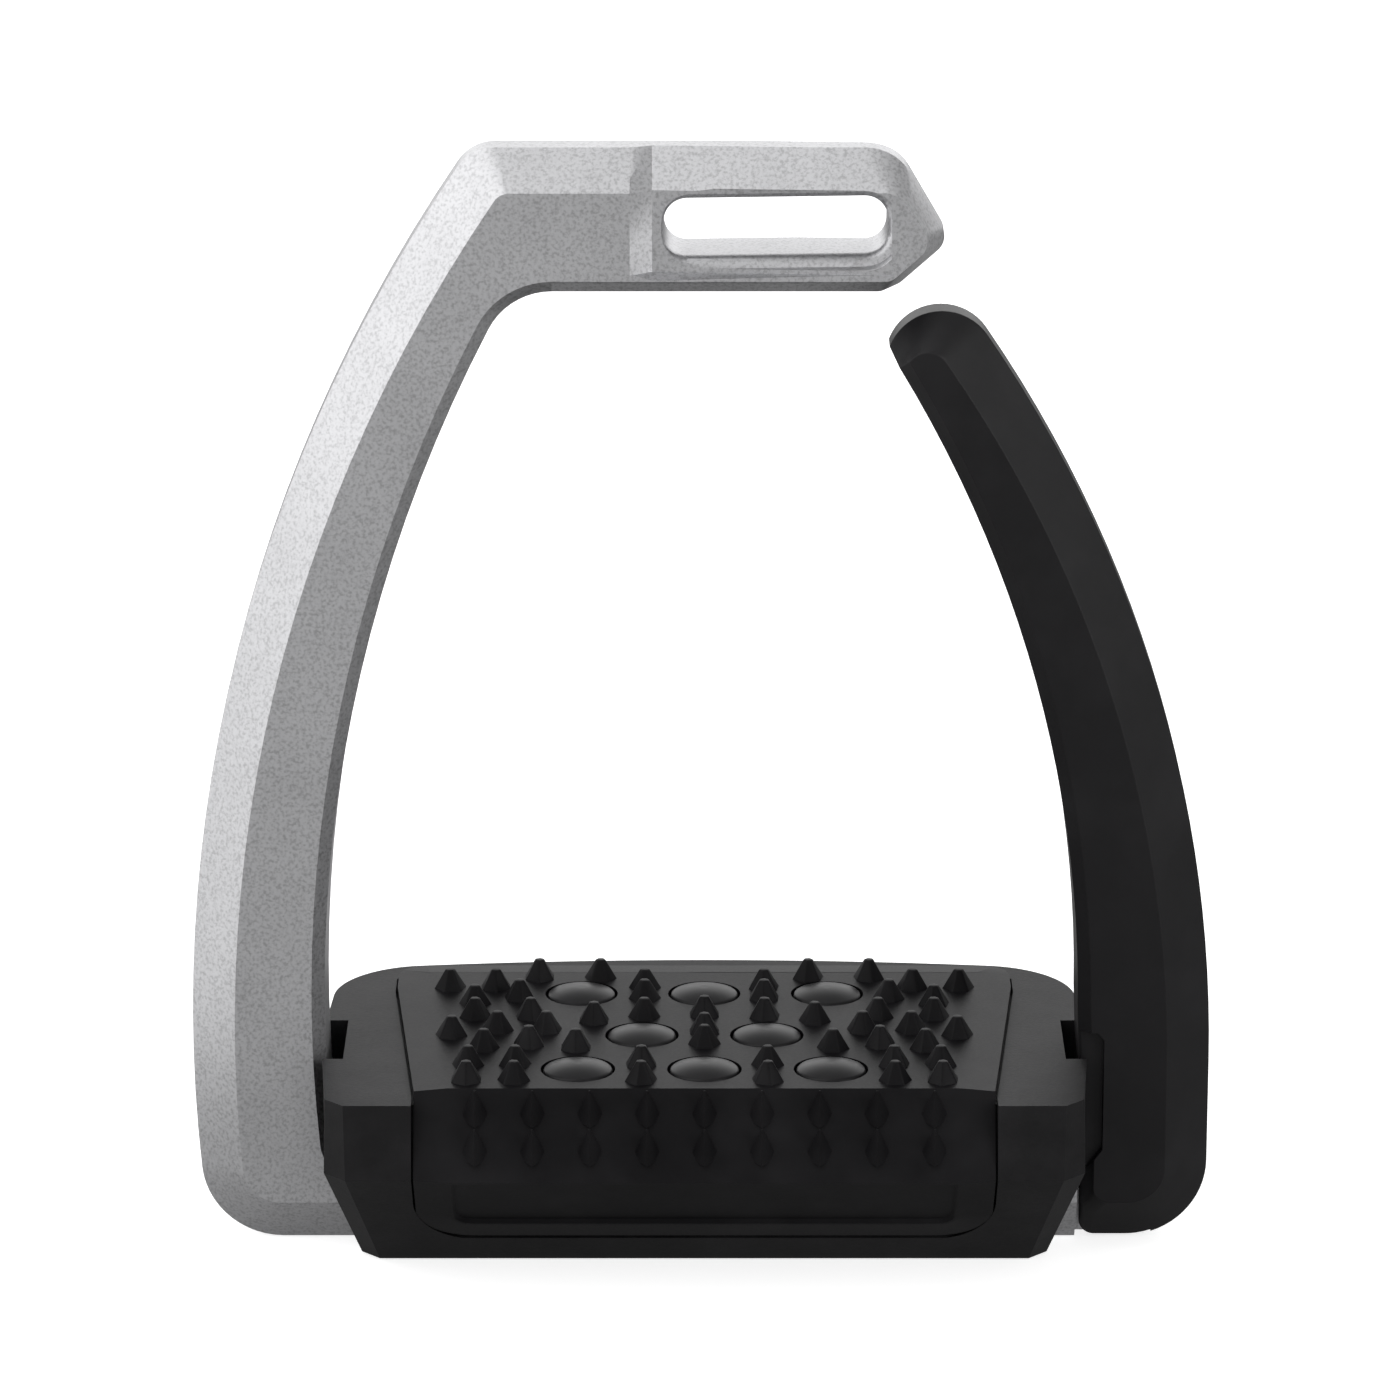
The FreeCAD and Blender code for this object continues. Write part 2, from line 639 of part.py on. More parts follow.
def cut_slot_rim(body, name, face, side):
    """Round one rim of the slot, along the sloping floor of the leather seat."""
    run = size("sink_step") - size("sink_slope") + size("sink_fade")
    slope = size("sink_depth") / run
    floor_depth = slope * (size("sink_fade") + side * size("slot_middle"))
    lip = size("slot_lip")
    sketches = []
    for number, angle in enumerate((-90, 0, 30, 60, 90), start=1):
        depth = lip * (1 - math.cos(math.radians(angle))) if angle > 0 else 0
        spread = lip * (1 - math.sin(math.radians(angle))) if angle > 0 else lip
        if angle < 0:
            depth = -2 * lip
        sketch = new_sketch(body, f"rim_{name}_{number}", "XZ_Plane",
                            f"-({face} + {side} * {floor_depth + depth:.4f})")
        place = sketch.AttachmentOffset
        place.Rotation = Rotation(Vector(0, 1, 0), math.degrees(math.atan(slope)))
        sketch.AttachmentOffset = place
        draw(sketch, slot_outline(spread))
        sketches.append(sketch)
    DOC.recompute()
    before = body.Shape.Volume
    loft(body, f"rim_{name}", "PartDesign::SubtractiveLoft", sketches)
    DOC.recompute()
    if body.Shape.Volume >= before:
        raise RuntimeError(f"rim_{name} cuts nothing")


def add_tongue(body):
    """Hinge tongue on the end of the crossbar, with its bore."""
    sketch = new_sketch(body, "tongue_sketch", "XZ_Plane", "-branch_middle")
    draw_rectangle(sketch, "crossbar_end - 2", "hinge_up - tongue_radius",
                   "hinge_out", "hinge_up + tongue_radius")
    pad(body, sketch, "tongue", "tongue_thick", both_ways=True)
    eye = new_sketch(body, "tongue_eye_sketch", "XZ_Plane", "-branch_middle")
    draw_circle(eye, "hinge_out", "hinge_up", "tongue_radius")
    pad(body, eye, "tongue_eye", "tongue_thick", both_ways=True)
    bore = new_sketch(body, "tongue_bore_sketch", "XZ_Plane", "-branch_middle")
    draw_circle(bore, "hinge_out", "hinge_up", "pin_radius + running_gap + bush_wall")
    pocket(body, bore, "tongue_bore", "branch_depth", both_ways=True)


def screw_places():
    """Tread screws along the crossbar, from the middle of the tread."""
    return (-1.5, -0.5, 0.5, 1.5)


def cut_crossbar(body):
    """Screw holes up through the crossbar and the seat of the stop pad."""
    holes = new_sketch(body, "crossbar_holes_sketch", "XY_Plane")
    heads = new_sketch(body, "crossbar_heads_sketch", "XY_Plane")
    for place in screw_places():
        across = f"tread_shift + {place} * screw_spacing"
        draw_circle(holes, across, "branch_middle", "screw_radius + 0.25")
        draw_circle(heads, across, "branch_middle", "screw_head + 0.2")
    pocket(body, holes, "crossbar_holes", "crossbar_height + 1", backwards=True)
    pocket(body, heads, "crossbar_heads", "screw_sunk + screw_head_high", backwards=True)
    seat = new_sketch(body, "stop_seat_sketch", "YZ_Plane", "crossbar_end")
    draw_rectangle(seat, "branch_middle - stop_pad_depth / 2", "stop_pad_up",
                   "branch_middle + stop_pad_depth / 2", "stop_pad_up + stop_pad_height")
    pocket(body, seat, "stop_seat", "stop_pad_sunk")


# ---------------------------------------------------------------- release arm

def make_release_arm():
    """Moulded outer branch that swings open on the hinge in its foot."""
    body = new_body("release_arm")
    branch_loft(body, arm_outline)
    cut_fork(body)
    cut_pin_bore(body)
    cut_relief(body, "front", FRONT_FACE, 1)
    cut_relief(body, "rear", REAR_FACE, -1)
    return body


def cut_fork(body):
    """Slot in the foot that takes the hinge tongue, open below and inwards."""
    sketch = new_sketch(body, "fork_sketch", "XZ_Plane", "-branch_middle")
    draw_rectangle(sketch, "crossbar_end - 2", "-1", "hinge_out + tongue_radius + tongue_clear",
                   "hinge_up + tongue_radius + tongue_clear")
    pocket(body, sketch, "fork", "tongue_thick + 2 * tongue_gap", both_ways=True)


PIN_FRONT = (f"({FLAT_FRONT} - (hinge_up - pin_radius) / bottom_bevel"
             " * (branch_depth - side_flat) / 2 + pin_cover / 4)")
PIN_REAR = f"(2 * branch_middle - {PIN_FRONT} - pin_cover)"


def cut_pin_bore(body):
    """Bore for the hinge pin, from the rear and blind at the front."""
    sketch = new_sketch(body, "pin_bore_sketch", "XZ_Plane", f"-({PIN_FRONT})")
    draw_circle(sketch, "hinge_out", "hinge_up", "pin_radius")
    pocket(body, sketch, "pin_bore", "branch_depth", backwards=False)


def cut_relief(body, name, face, side):
    """Shallow recess that leaves room round the casing's ear."""
    sketch = new_sketch(body, f"relief_{name}_sketch", "XZ_Plane", f"-({face})")
    inner = "(inner_width / 2 - 1)"
    wall = "(inner_width / 2 + relief_width)"
    top = "(deck_height + 4)"
    draw_polygon(sketch, [
        (inner, top),
        (f"{wall} - 1", top),
        (wall, f"{top} - 1.2"),
        (wall, "crossbar_height + inner_bevel"),
        (f"{wall} - 3", "crossbar_height - 2"),
        (f"{wall} - 3.6", "bottom_bevel"),
        (inner, "bottom_bevel"),
    ])
    pocket(body, sketch, f"relief_{name}", "relief_depth", backwards=side == -1)


# ---------------------------------------------------------------- tread casing

def plan_outline(front, rear, bow, end, taper, corner, chamfer):
    """Plan of the casing at one level, as lines and arcs in X and Y."""
    shift = size("tread_shift")
    waist = size("branch_middle")
    rear_side = (end - taper / 2, rear - bow - corner)
    rear_start = (end - corner, rear - bow)
    bend = (end - taper / 2 - 0.3 * corner, rear - bow - 0.3 * corner)
    right = [
        ((-(end - taper - chamfer), -front), (end - taper - chamfer, -front)),
        ((end - taper - chamfer, -front), (end - taper, chamfer - front)),
        ((end - taper, chamfer - front), (end, waist)),
        ((end, waist), rear_side),
        (rear_side, bend, rear_start),
        (rear_start, (0, rear), (-rear_start[0], rear_start[1])),
    ]
    left = [mirrored(points)[::-1] for points in right[4:0:-1]]
    return [
        tuple((across + shift, back) for across, back in points)
        for points in right + left
    ]


def make_casing():
    """Moulded tread body that sits over the crossbar, with its seats and channels."""
    body = new_body("tread_body")
    deck = size("deck_half")
    bow = size("deck_bow")
    taper = size("deck_taper")
    corner = size("deck_corner")
    chamfer = size("edge_chamfer")
    out = size("ridge_out")
    rear = deck + size("rear_extra")
    ridge_end = size("deck_end") - size("ridge_inset")
    ridge_chamfer = chamfer + size("ridge_chamfer_extra")
    sole = size("sole_half")
    levels = (
        ("deck_height", (deck, rear, bow, size("deck_end"), taper, corner, chamfer)),
        ("ridge_height", (deck + out, rear + out, bow, ridge_end, taper / 2, corner,
                          ridge_chamfer)),
        ("0", (sole, sole, size("sole_bow"), size("sole_end"), size("sole_taper"),
               size("sole_plan_corner"), chamfer)),
    )
    sketches = []
    for number, (level, plan) in enumerate(levels, start=1):
        sketch = new_sketch(body, f"casing_level_{number}", "XY_Plane", level)
        draw(sketch, plan_outline(*plan))
        sketches.append(sketch)
    loft(body, "casing_blank", "PartDesign::AdditiveLoft", sketches)
    DOC.recompute()
    cut_branch_room(body)
    cut_cushion_seat(body)
    cut_casing_bores(body)

    seat = make_pad_block("pad_seat", "seam_gap", "3")
    casing = DOC.addObject("Part::Cut", "tread_casing")
    casing.Label = "tread_casing"
    casing.Base = body
    casing.Tool = seat
    return casing


def cut_branch_room(body):
    """Channel for the crossbar and a notch at each end for the branches."""
    channel = new_sketch(body, "channel_sketch", "YZ_Plane")
    draw_rectangle(channel, f"{FRONT_FACE} - channel_gap", "-1",
                   f"{REAR_FACE} + channel_gap", "crossbar_height + channel_gap")
    pocket(body, channel, "channel", "3 * inner_width", both_ways=True)
    for name, side in (("left", -1), ("right", 1)):
        notch = new_sketch(body, f"notch_{name}_sketch", "XY_Plane", "-1")
        near = f"tread_shift + {side} * notch_wall"
        far = f"tread_shift + {side} * (notch_wall + branch_width)"
        if side == -1:
            near, far = far, near
        draw_rectangle(notch, near, f"{FRONT_FACE} - notch_gap", far,
                       f"{REAR_FACE} + notch_gap / 2")
        pocket(body, notch, f"notch_{name}", "deck_height + 4", backwards=True)


def cut_cushion_seat(body):
    """Pocket under the grip pad for the elastic plate."""
    sketch = new_sketch(body, "cushion_seat_sketch", "XY_Plane", "pad_top - pad_thick")
    draw_rectangle(sketch, "tread_shift - cushion_half_long - 0.2", "-cushion_front - 0.2",
                   "tread_shift + cushion_half_long + 0.2", "cushion_rear + 0.2")
    pocket(body, sketch, "cushion_seat", "cushion_thick")


def pad_screw_places():
    """Centres of the grip pad's screws as expressions."""
    return [
        (f"tread_shift + {side} * pad_screw_side", back)
        for side in (-1, 1)
        for back in ("-pad_screw_front", "pad_screw_rear")
    ]


def cut_casing_bores(body):
    """Bores for the threaded inserts and for the grip pad's screws."""
    inserts = new_sketch(body, "insert_bore_sketch", "XY_Plane", "crossbar_height")
    for place in screw_places():
        draw_circle(inserts, f"tread_shift + {place} * screw_spacing", "branch_middle",
                    "insert_radius")
    pocket(body, inserts, "insert_bores", "channel_gap + insert_high + 0.5", backwards=True)
    shanks = new_sketch(body, "pad_shank_sketch", "XY_Plane")
    heads = new_sketch(body, "pad_head_sketch", "XY_Plane")
    for across, back in pad_screw_places():
        draw_circle(shanks, across, back, "pad_screw_radius + 0.2")
        draw_circle(heads, across, back, "pad_screw_head + 0.2")
    pocket(body, shanks, "pad_shanks", "deck_height + 1", backwards=True)
    pocket(body, heads, "pad_heads", "pad_top - pad_thick - pad_screw_floor", backwards=True)


# ---------------------------------------------------------------- grip pad

def make_pad_block(label, gap, proud):
    """The grip pad's plain shape: a plate that folds down over the tread's front.

    gap widens its sides, and proud lifts its outer surface, for cutting its seat.
    """
    body = new_body(label)
    inner_front = "(pad_front_edge - pad_thick * inner_front_part)"
    inner_ridge = "(pad_ridge - pad_thick * inner_ridge_part)"
    inner_low = "(pad_lower - pad_thick * inner_low_part)"
    inner_low_height = "(pad_lower_height + pad_thick / 2)"
    longer = f"({gap} / (ridge_height - {inner_low_height}))"
    under = "(pad_top - pad_thick)"
    profile = new_sketch(body, f"{label}_profile", "YZ_Plane", "tread_shift")
    draw_polygon(profile, [
        (f"pad_rear_edge + {gap}", under),
        (f"pad_rear_edge + {gap}", f"pad_top + {proud}"),
        (f"-pad_front_edge - {proud} / 2", f"pad_top + {proud}"),
        (f"-pad_ridge - {proud}", "ridge_height"),
        (f"-pad_lower - {proud} / 2", f"pad_lower_height - {proud} / 2 - {gap}"),
        (f"-{inner_low} + ({inner_ridge} - {inner_low}) * {longer}",
         f"{inner_low_height} - {gap}"),
        (f"-{inner_ridge}", "ridge_height"),
        (f"-{inner_front}", under),
    ])
    pad(body, profile, f"{label}_plate", "2 * deck_end", both_ways=True)
    for name, side in (("left", -1), ("right", 1)):
        flank = new_sketch(body, f"{label}_{name}_flank", "XY_Plane", "-1")
        rear = f"tread_shift + {side} * (pad_rear_half + {gap})"
        front = f"tread_shift + {side} * (pad_front_half + {gap})"
        away = f"tread_shift + {side} * 2 * deck_end"
        corner = f"{rear} - {side} * pad_rear_corner"
        draw_polygon(flank, [
            (corner, "2 * deck_half"),
            (corner, f"pad_rear_edge + {gap}"),
            (rear, f"pad_rear_edge + {gap} - pad_rear_corner"),
            (rear, "deck_half - deck_corner"),
            (front, "-pad_front_edge"),
            (front, "-2 * deck_half"),
            (away, "-2 * deck_half"),
            (away, "2 * deck_half"),
        ])
        pocket(body, flank, f"{label}_{name}_side", "2 * overall_height", backwards=True)
        cut_pad_corner(body, name, side, float(size(gap) if gap in ALIASES else gap))
    return body


def cut_pad_corner(body, name, side, gap):
    """Round one lower corner of the pad's front flap."""
    edge = size("pad_front_half") + gap
    low = size("pad_lower_height") - gap
    corner = size("pad_corner") + gap
    beyond = corner + 2
    shift = size("tread_shift")
    slant = corner * (1 - math.sqrt(0.5))
    path = [
        ((edge, low + corner), (edge - slant, low + slant), (edge - corner, low)),
        ((edge - corner, low), (edge - corner, low - beyond)),
        ((edge - corner, low - beyond), (edge + beyond, low - beyond)),
        ((edge + beyond, low - beyond), (edge + beyond, low + corner)),
        ((edge + beyond, low + corner), (edge, low + corner)),
    ]
    sketch = new_sketch(body, f"{body.Label}_{name}_corner", "XZ_Plane",
                        "deck_half / 2 - corner_cut_back")
    draw(sketch, [
        tuple((shift + side * across, up) for across, up in points)
        for points in path
    ])
    pocket(body, sketch, f"{body.Label}_{name}_round", "2 * deck_half", backwards=True)


def cut_front_panel(body):
    """Shallow sunk panel on the pad's lower front slope."""
    run = size("pad_ridge") - size("pad_lower")
    drop = size("ridge_height") - size("pad_lower_height")
    slope_length = math.hypot(run, drop)
    half = size("pad_front_half") - size("panel_side")
    sketch = new_sketch(body, "panel_sketch", "XZ_Plane", "pad_ridge")
    place = sketch.AttachmentOffset
    place.Base = Vector(size("tread_shift"), size("ridge_height"), size("pad_ridge"))
    place.Rotation = Rotation(Vector(1, 0, 0), math.degrees(math.atan2(run, drop)))
    sketch.AttachmentOffset = place
    draw(sketch, rounded_box(-half, size("panel_low") - slope_length, half,
                             -size("panel_high"), size("panel_corner")))
    pocket(body, sketch, "front_panel", "panel_sunk")


def cut_pad_threads(body):
    """Blind holes in the pad's underside for its screws."""
    screws = new_sketch(body, "pad_thread_sketch", "XY_Plane", "pad_top - pad_thick")
    for across, back in pad_screw_places():
        draw_circle(screws, across, back, "pad_screw_radius")
    pocket(body, screws, "pad_threads", "pad_thick - pad_screw_cover", backwards=True)


def button_bores():
    """Bores through the pad for the domed buttons."""
    bores = [
        rod(f"button_bore_{number}", "button_radius + button_gap", "2 * pad_thick",
            across, back, "pad_top - 1.5 * pad_thick")
        for number, (across, back) in enumerate(button_places(), start=1)
    ]
    return joined("Part::Compound", "button_bores", bores)


def button_places():
    """Two rows of three and a row of two between them, as expressions."""
    rows = ((14.0, (-1, 0, 1)), (-5.7, (-0.5, 0.5)), (-21.4, (-1, 0, 1)))
    return [
        (f"tread_shift + {step} * button_pitch", str(back))
        for back, steps in rows
        for step in steps
    ]


# Deck spikes: distance back, then distances from the middle; each stands on both sides.
SPIKE_ROWS = (
    (21.8, (17, 27)),
    (17.0, (9.7, 34, 41.5)),
    (11.8, (9.7, 30)),
    (9.2, (37.2,)),
    (3.0, (9.7, 28, 37)),
    (1.0, (17.8,)),
    (-3.4, (25.4, 33.2)),
    (-5.6, (40.5,)),
    (-10.2, (28,)),
    (-11.7, (20.5, 35.2)),
    (-19.4, (10, 30, 37.4)),
    (-26.4, (10, 30, 37.5)),
)
MIDDLE_SPIKES = (3.9, -4.2, -9.8)


def spike(name, height, base, place, axis):
    """One blunt cone standing on a surface."""
    cone = DOC.addObject("Part::Cone", name)
    bind(cone, Radius1=base, Radius2="spike_tip", Height=f"{height} + 0.6")
    cone.Placement = Placement(place - axis * 0.6, Rotation(Vector(0, 0, 1), axis))
    return cone


def deck_spikes():
    """Spikes on the pad's top."""
    up = Vector(0, 0, 1)
    level = size("pad_top")
    shift = size("tread_shift")
    places = [(0, back) for back in MIDDLE_SPIKES]
    for back, sides in SPIKE_ROWS:
        places += [(side * across, back) for across in sides for side in (-1, 1)]
    return [
        spike(f"deck_spike_{number}", "spike_height", "spike_base",
              Vector(shift + across, back, level), up)
        for number, (across, back) in enumerate(places, start=1)
    ]


def lip_spikes():
    """Two rows of nine spikes on the pad's front, pointing forwards and up."""
    axis = Vector(0, -0.62, 0.78).normalize()
    top = Vector(0, -size("pad_front_edge"), size("pad_top"))
    ridge = Vector(0, -size("pad_ridge"), size("ridge_height"))
    cones = []
    for row, share in enumerate((0.25, 0.66)):
        middle = top + (ridge - top) * share
        for step in range(-4, 5):
            place = middle + Vector(size("tread_shift") + step * size("lip_spike_pitch"), 0, 0)
            cones.append(spike(f"lip_spike_{row}_{step + 4}", "lip_spike_height",
                               "lip_spike_base", place, axis))
    return cones


def make_grip_pad():
    """Grip pad with its spikes, bored for the buttons."""
    plate = make_pad_block("pad_plate", "0", "0")
    cut_front_panel(plate)
    cut_pad_threads(plate)
    spiked = joined("Part::MultiFuse", "spiked_plate", [plate] + deck_spikes() + lip_spikes())
    return joined("Part::Cut", "grip_pad", [spiked, button_bores()])


def make_button(number, across, back):
    """One domed elastic button on the cushion."""
    label = f"dome_button_{number}"
    cylinder = DOC.addObject("Part::Cylinder", f"{label}_stem")
    bind(cylinder, Radius="button_radius", Height="pad_thick + button_crown",
         Placement__Base__x=across, Placement__Base__y=back,
         Placement__Base__z="pad_top - pad_thick")
    dome = "(button_radius * button_radius / button_crown / 2 + button_crown / 2)"
    ball = DOC.addObject("Part::Sphere", f"{label}_dome")
    bind(ball, Radius=dome, Placement__Base__x=across, Placement__Base__y=back,
         Placement__Base__z=f"pad_top + button_crown - {dome}")
    button = DOC.addObject("Part::Common", label)
    button.Label = label
    button.Base = cylinder
    button.Tool = ball
    return button


def make_cushion():
    """Elastic plate between the casing and the grip pad."""
    plate = DOC.addObject("Part::Box", "cushion")
    plate.Label = "cushion"
    bind(plate, Length="2 * cushion_half_long", Width="cushion_front + cushion_rear",
         Height="cushion_thick", Placement__Base__x="tread_shift - cushion_half_long",
         Placement__Base__y="-cushion_front",
         Placement__Base__z="pad_top - pad_thick - cushion_thick")
    return plate


# ---------------------------------------------------------------- fasteners

def rod(name, radius, length, across, back, up, axis=(0, 0, 1)):
    """A cylinder bound to the sheet, standing along an axis."""
    cylinder = DOC.addObject("Part::Cylinder", name)
    cylinder.Placement = Placement(Vector(), Rotation(Vector(0, 0, 1), Vector(*axis)))
    bind(cylinder, Radius=radius, Height=length, Placement__Base__x=across,
         Placement__Base__y=back, Placement__Base__z=up)
    return cylinder


def joined(kind, label, shapes):
    """Several shapes as one labelled object."""
    whole = DOC.addObject(kind, label)
    whole.Label = label
    if kind == "Part::Compound":
        whole.Links = shapes
    elif kind == "Part::Cut":
        whole.Base, whole.Tool = shapes
    else:
        whole.Shapes = shapes
    return whole


def cheese_screw(name, radius, head, head_high, length, across, back, up):
    """A cap screw standing head down, with a hexagon socket in its head."""
    head_part = rod(f"{name}_head", head, head_high, across, back, up)
    shank = rod(f"{name}_shank", radius, length, across, back, up)
    blank = joined("Part::MultiFuse", f"{name}_blank", [head_part, shank])
    socket = DOC.addObject("Part::Prism", f"{name}_socket")
    bind(socket, Circumradius=f"({head}) * 0.5", Height=f"({head_high}) * 0.6",
         Placement__Base__x=across, Placement__Base__y=back, Placement__Base__z=f"{up} - 0.01")
    return joined("Part::Cut", name, [blank, socket])


def make_crossbar_screws():
    """Four cap screws up through the crossbar into the casing."""
    screws = [
        cheese_screw(f"crossbar_screw_{number}", "screw_radius", "screw_head", "screw_head_high",
                     "crossbar_height + channel_gap + insert_high - screw_sunk",
                     f"tread_shift + {place} * screw_spacing", "branch_middle", "screw_sunk")
        for number, place in enumerate(screw_places(), start=1)
    ]
    return joined("Part::Compound", "crossbar_screws", screws)


def make_threaded_inserts():
    """Four brass inserts moulded into the casing."""
    inserts = []
    for number, place in enumerate(screw_places(), start=1):
        across = f"tread_shift + {place} * screw_spacing"
        start = "crossbar_height + channel_gap"
        outside = rod(f"insert_{number}_outside", "insert_radius", "insert_high", across,
                      "branch_middle", start)
        bore = rod(f"insert_{number}_bore", "screw_radius + running_gap", "insert_high + 2",
                   across, "branch_middle", f"{start} - 1")
        inserts.append(joined("Part::Cut", f"insert_{number}", [outside, bore]))
    return joined("Part::Compound", "threaded_inserts", inserts)


def make_pad_screws():
    """Four small cap screws that hold the grip pad from below."""
    up = "(pad_top - pad_thick - pad_screw_floor - 2)"
    screws = [
        cheese_screw(f"pad_screw_{number}", "pad_screw_radius", "pad_screw_head", "2",
                     "pad_screw_floor + 2 + pad_thick - 1.2", across, back, up)
        for number, (across, back) in enumerate(pad_screw_places(), start=1)
    ]
    return joined("Part::Compound", "pad_screws", screws)


# ---------------------------------------------------------------- hinge

FORWARD = (0, -1, 0)


def make_hinge_pin():
    """Steel pin pressed into the arm's foot."""
    pin = rod("hinge_pin", "pin_radius", f"{PIN_REAR} - {PIN_FRONT}", "hinge_out",
              PIN_REAR, "hinge_up", FORWARD)
    pin.Label = "hinge_pin"
    return pin


def make_pin_plug():
    """Plug that closes the pin's bore at the rear."""
    plug = rod("pin_plug", "pin_radius", "pin_cover", "hinge_out",
               f"{PIN_REAR} + pin_cover", "hinge_up", FORWARD)
    plug.Label = "pin_plug"
    return plug


def make_hinge_bush():
    """Bronze bush pressed into the tongue."""
    rear = "(branch_middle + tongue_thick / 2)"
    outside = rod("bush_outside", "pin_radius + running_gap + bush_wall", "tongue_thick",
                  "hinge_out", rear, "hinge_up", FORWARD)
    bore = rod("bush_bore", "pin_radius + running_gap", "tongue_thick + 2", "hinge_out",
               f"{rear} + 1", "hinge_up", FORWARD)
    return joined("Part::Cut", "hinge_bush", [outside, bore])


def make_return_spring(name, side):
    """One turn of spring wire round the pin, with its two legs."""
    plane = f"(branch_middle + {side} * (tongue_thick / 2 + tongue_gap / 2))"
    ring = DOC.addObject("Part::Torus", f"{name}_ring")
    ring.Placement = Placement(Vector(), Rotation(Vector(0, 0, 1), Vector(*FORWARD)))
    coil = "(pin_radius + spring_wire / 2 + 0.25)"
    bind(ring, Radius1=coil, Radius2="spring_wire / 2", Placement__Base__x="hinge_out",
         Placement__Base__y=plane, Placement__Base__z="hinge_up")
    upright = rod(f"{name}_upright", "spring_wire / 2", "tongue_radius",
                  f"hinge_out + {coil}", plane, "hinge_up")
    level = rod(f"{name}_level", "spring_wire / 2", "tongue_radius * 1.6",
                "hinge_out", plane, f"hinge_up - {coil}", (-1, 0, 0))
    return joined("Part::MultiFuse", name, [ring, upright, level])


def make_stop_pad():
    """Rubber block in the crossbar's end that the closed arm rests against."""
    block = DOC.addObject("Part::Box", "stop_pad")
    block.Label = "stop_pad"
    bind(block, Length="stop_pad_sunk + stop_pad_proud", Width="stop_pad_depth",
         Height="stop_pad_height", Placement__Base__x="crossbar_end - stop_pad_sunk",
         Placement__Base__y="branch_middle - stop_pad_depth / 2",
         Placement__Base__z="stop_pad_up")
    return block


# ---------------------------------------------------------------- assembly

def make_pieces():
    """Every piece of the stirrup, in the order in which it is put together."""
    pieces = [
        make_frame(),
        make_casing(),
        make_threaded_inserts(),
        make_crossbar_screws(),
        make_cushion(),
        make_grip_pad(),
        make_pad_screws(),
        make_release_arm(),
        make_hinge_bush(),
        make_hinge_pin(),
        make_pin_plug(),
        make_return_spring("return_spring_front", -1),
        make_return_spring("return_spring_rear", 1),
        make_stop_pad(),
    ]
    for number, (across, back) in enumerate(button_places(), start=1):
        pieces.append(make_button(number, across, back))
    return pieces


def check(pieces):
    """Stop if any object failed or any piece's shape is null or not valid."""
    DOC.recompute()
    for item in DOC.Objects:
        if "Invalid" in item.State or "Error" in item.State:
            raise RuntimeError(f"{item.Name} failed: {item.State}")
    for piece in pieces:
        if piece.Shape.isNull() or not piece.Shape.isValid() or not piece.Shape.Solids:
            raise RuntimeError(f"{piece.Label} has no valid shape")


def write(pieces):
    """Write each piece to its own file."""
    os.makedirs("parts", exist_ok=True)
    for piece in pieces:
        piece.Shape.exportStep(f"parts/{piece.Label}.step")
        box = piece.Shape.BoundBox
        print(f"{piece.Label:22s} {len(piece.Shape.Solids):2d} solids {piece.Shape.Volume:10.1f} mm3"
              f" x {box.XMin:6.1f} {box.XMax:6.1f} y {box.YMin:6.1f} {box.YMax:6.1f}"
              f" z {box.ZMin:6.1f} {box.ZMax:6.1f}")


PIECES = make_pieces()
check(PIECES)
write(PIECES)
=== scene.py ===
import math

import bmesh
import bpy
from bpy.props import FloatProperty, FloatVectorProperty, IntProperty, PointerProperty, StringProperty
from bpy.types import Operator, Panel, PropertyGroup
from mathutils import Matrix, Vector


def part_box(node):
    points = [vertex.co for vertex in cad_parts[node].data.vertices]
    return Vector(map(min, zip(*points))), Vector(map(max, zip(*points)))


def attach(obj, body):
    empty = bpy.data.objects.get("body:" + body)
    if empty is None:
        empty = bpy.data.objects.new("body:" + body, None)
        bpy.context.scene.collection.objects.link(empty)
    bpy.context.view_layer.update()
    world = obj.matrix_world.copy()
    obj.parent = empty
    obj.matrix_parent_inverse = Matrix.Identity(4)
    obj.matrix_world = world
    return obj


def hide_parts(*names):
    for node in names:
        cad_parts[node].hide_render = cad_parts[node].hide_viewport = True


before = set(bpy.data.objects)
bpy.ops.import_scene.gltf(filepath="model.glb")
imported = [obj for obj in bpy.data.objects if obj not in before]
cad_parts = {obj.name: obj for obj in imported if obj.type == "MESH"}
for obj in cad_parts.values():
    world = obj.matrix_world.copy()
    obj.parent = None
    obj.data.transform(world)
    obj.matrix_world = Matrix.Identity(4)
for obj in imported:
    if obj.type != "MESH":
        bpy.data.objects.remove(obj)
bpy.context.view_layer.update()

bl_info = {
    "name": "Safety stirrup iron",
    "version": (1, 0, 0),
    "blender": (4, 5, 0),
    "location": "3D View > Sidebar > Stirrup",
    "description": "Aluminium safety stirrup with a moulded tread, a spiked grip pad and a release arm",
    "category": "Add Mesh",
}

MM = 0.001
CREASE = math.radians(32)
BODY_EDGE_ANGLE = math.radians(24)
PAD_EDGE_ANGLE = math.radians(20)
BUTTON_EDGE_ANGLE = math.radians(40)
FLAT_ANGLE = math.radians(0.6)
WELD_DISTANCE = 0.004 * MM
EDGE_STEPS = 2
NEARLY = 0.05 * MM
SPIKE_FOOT = 1.2 * MM
SENSOR_WIDTH = 36.0
LIGHT_TARGET = (0, 0, 0.09)


# ---------------------------------------------------------------- settings

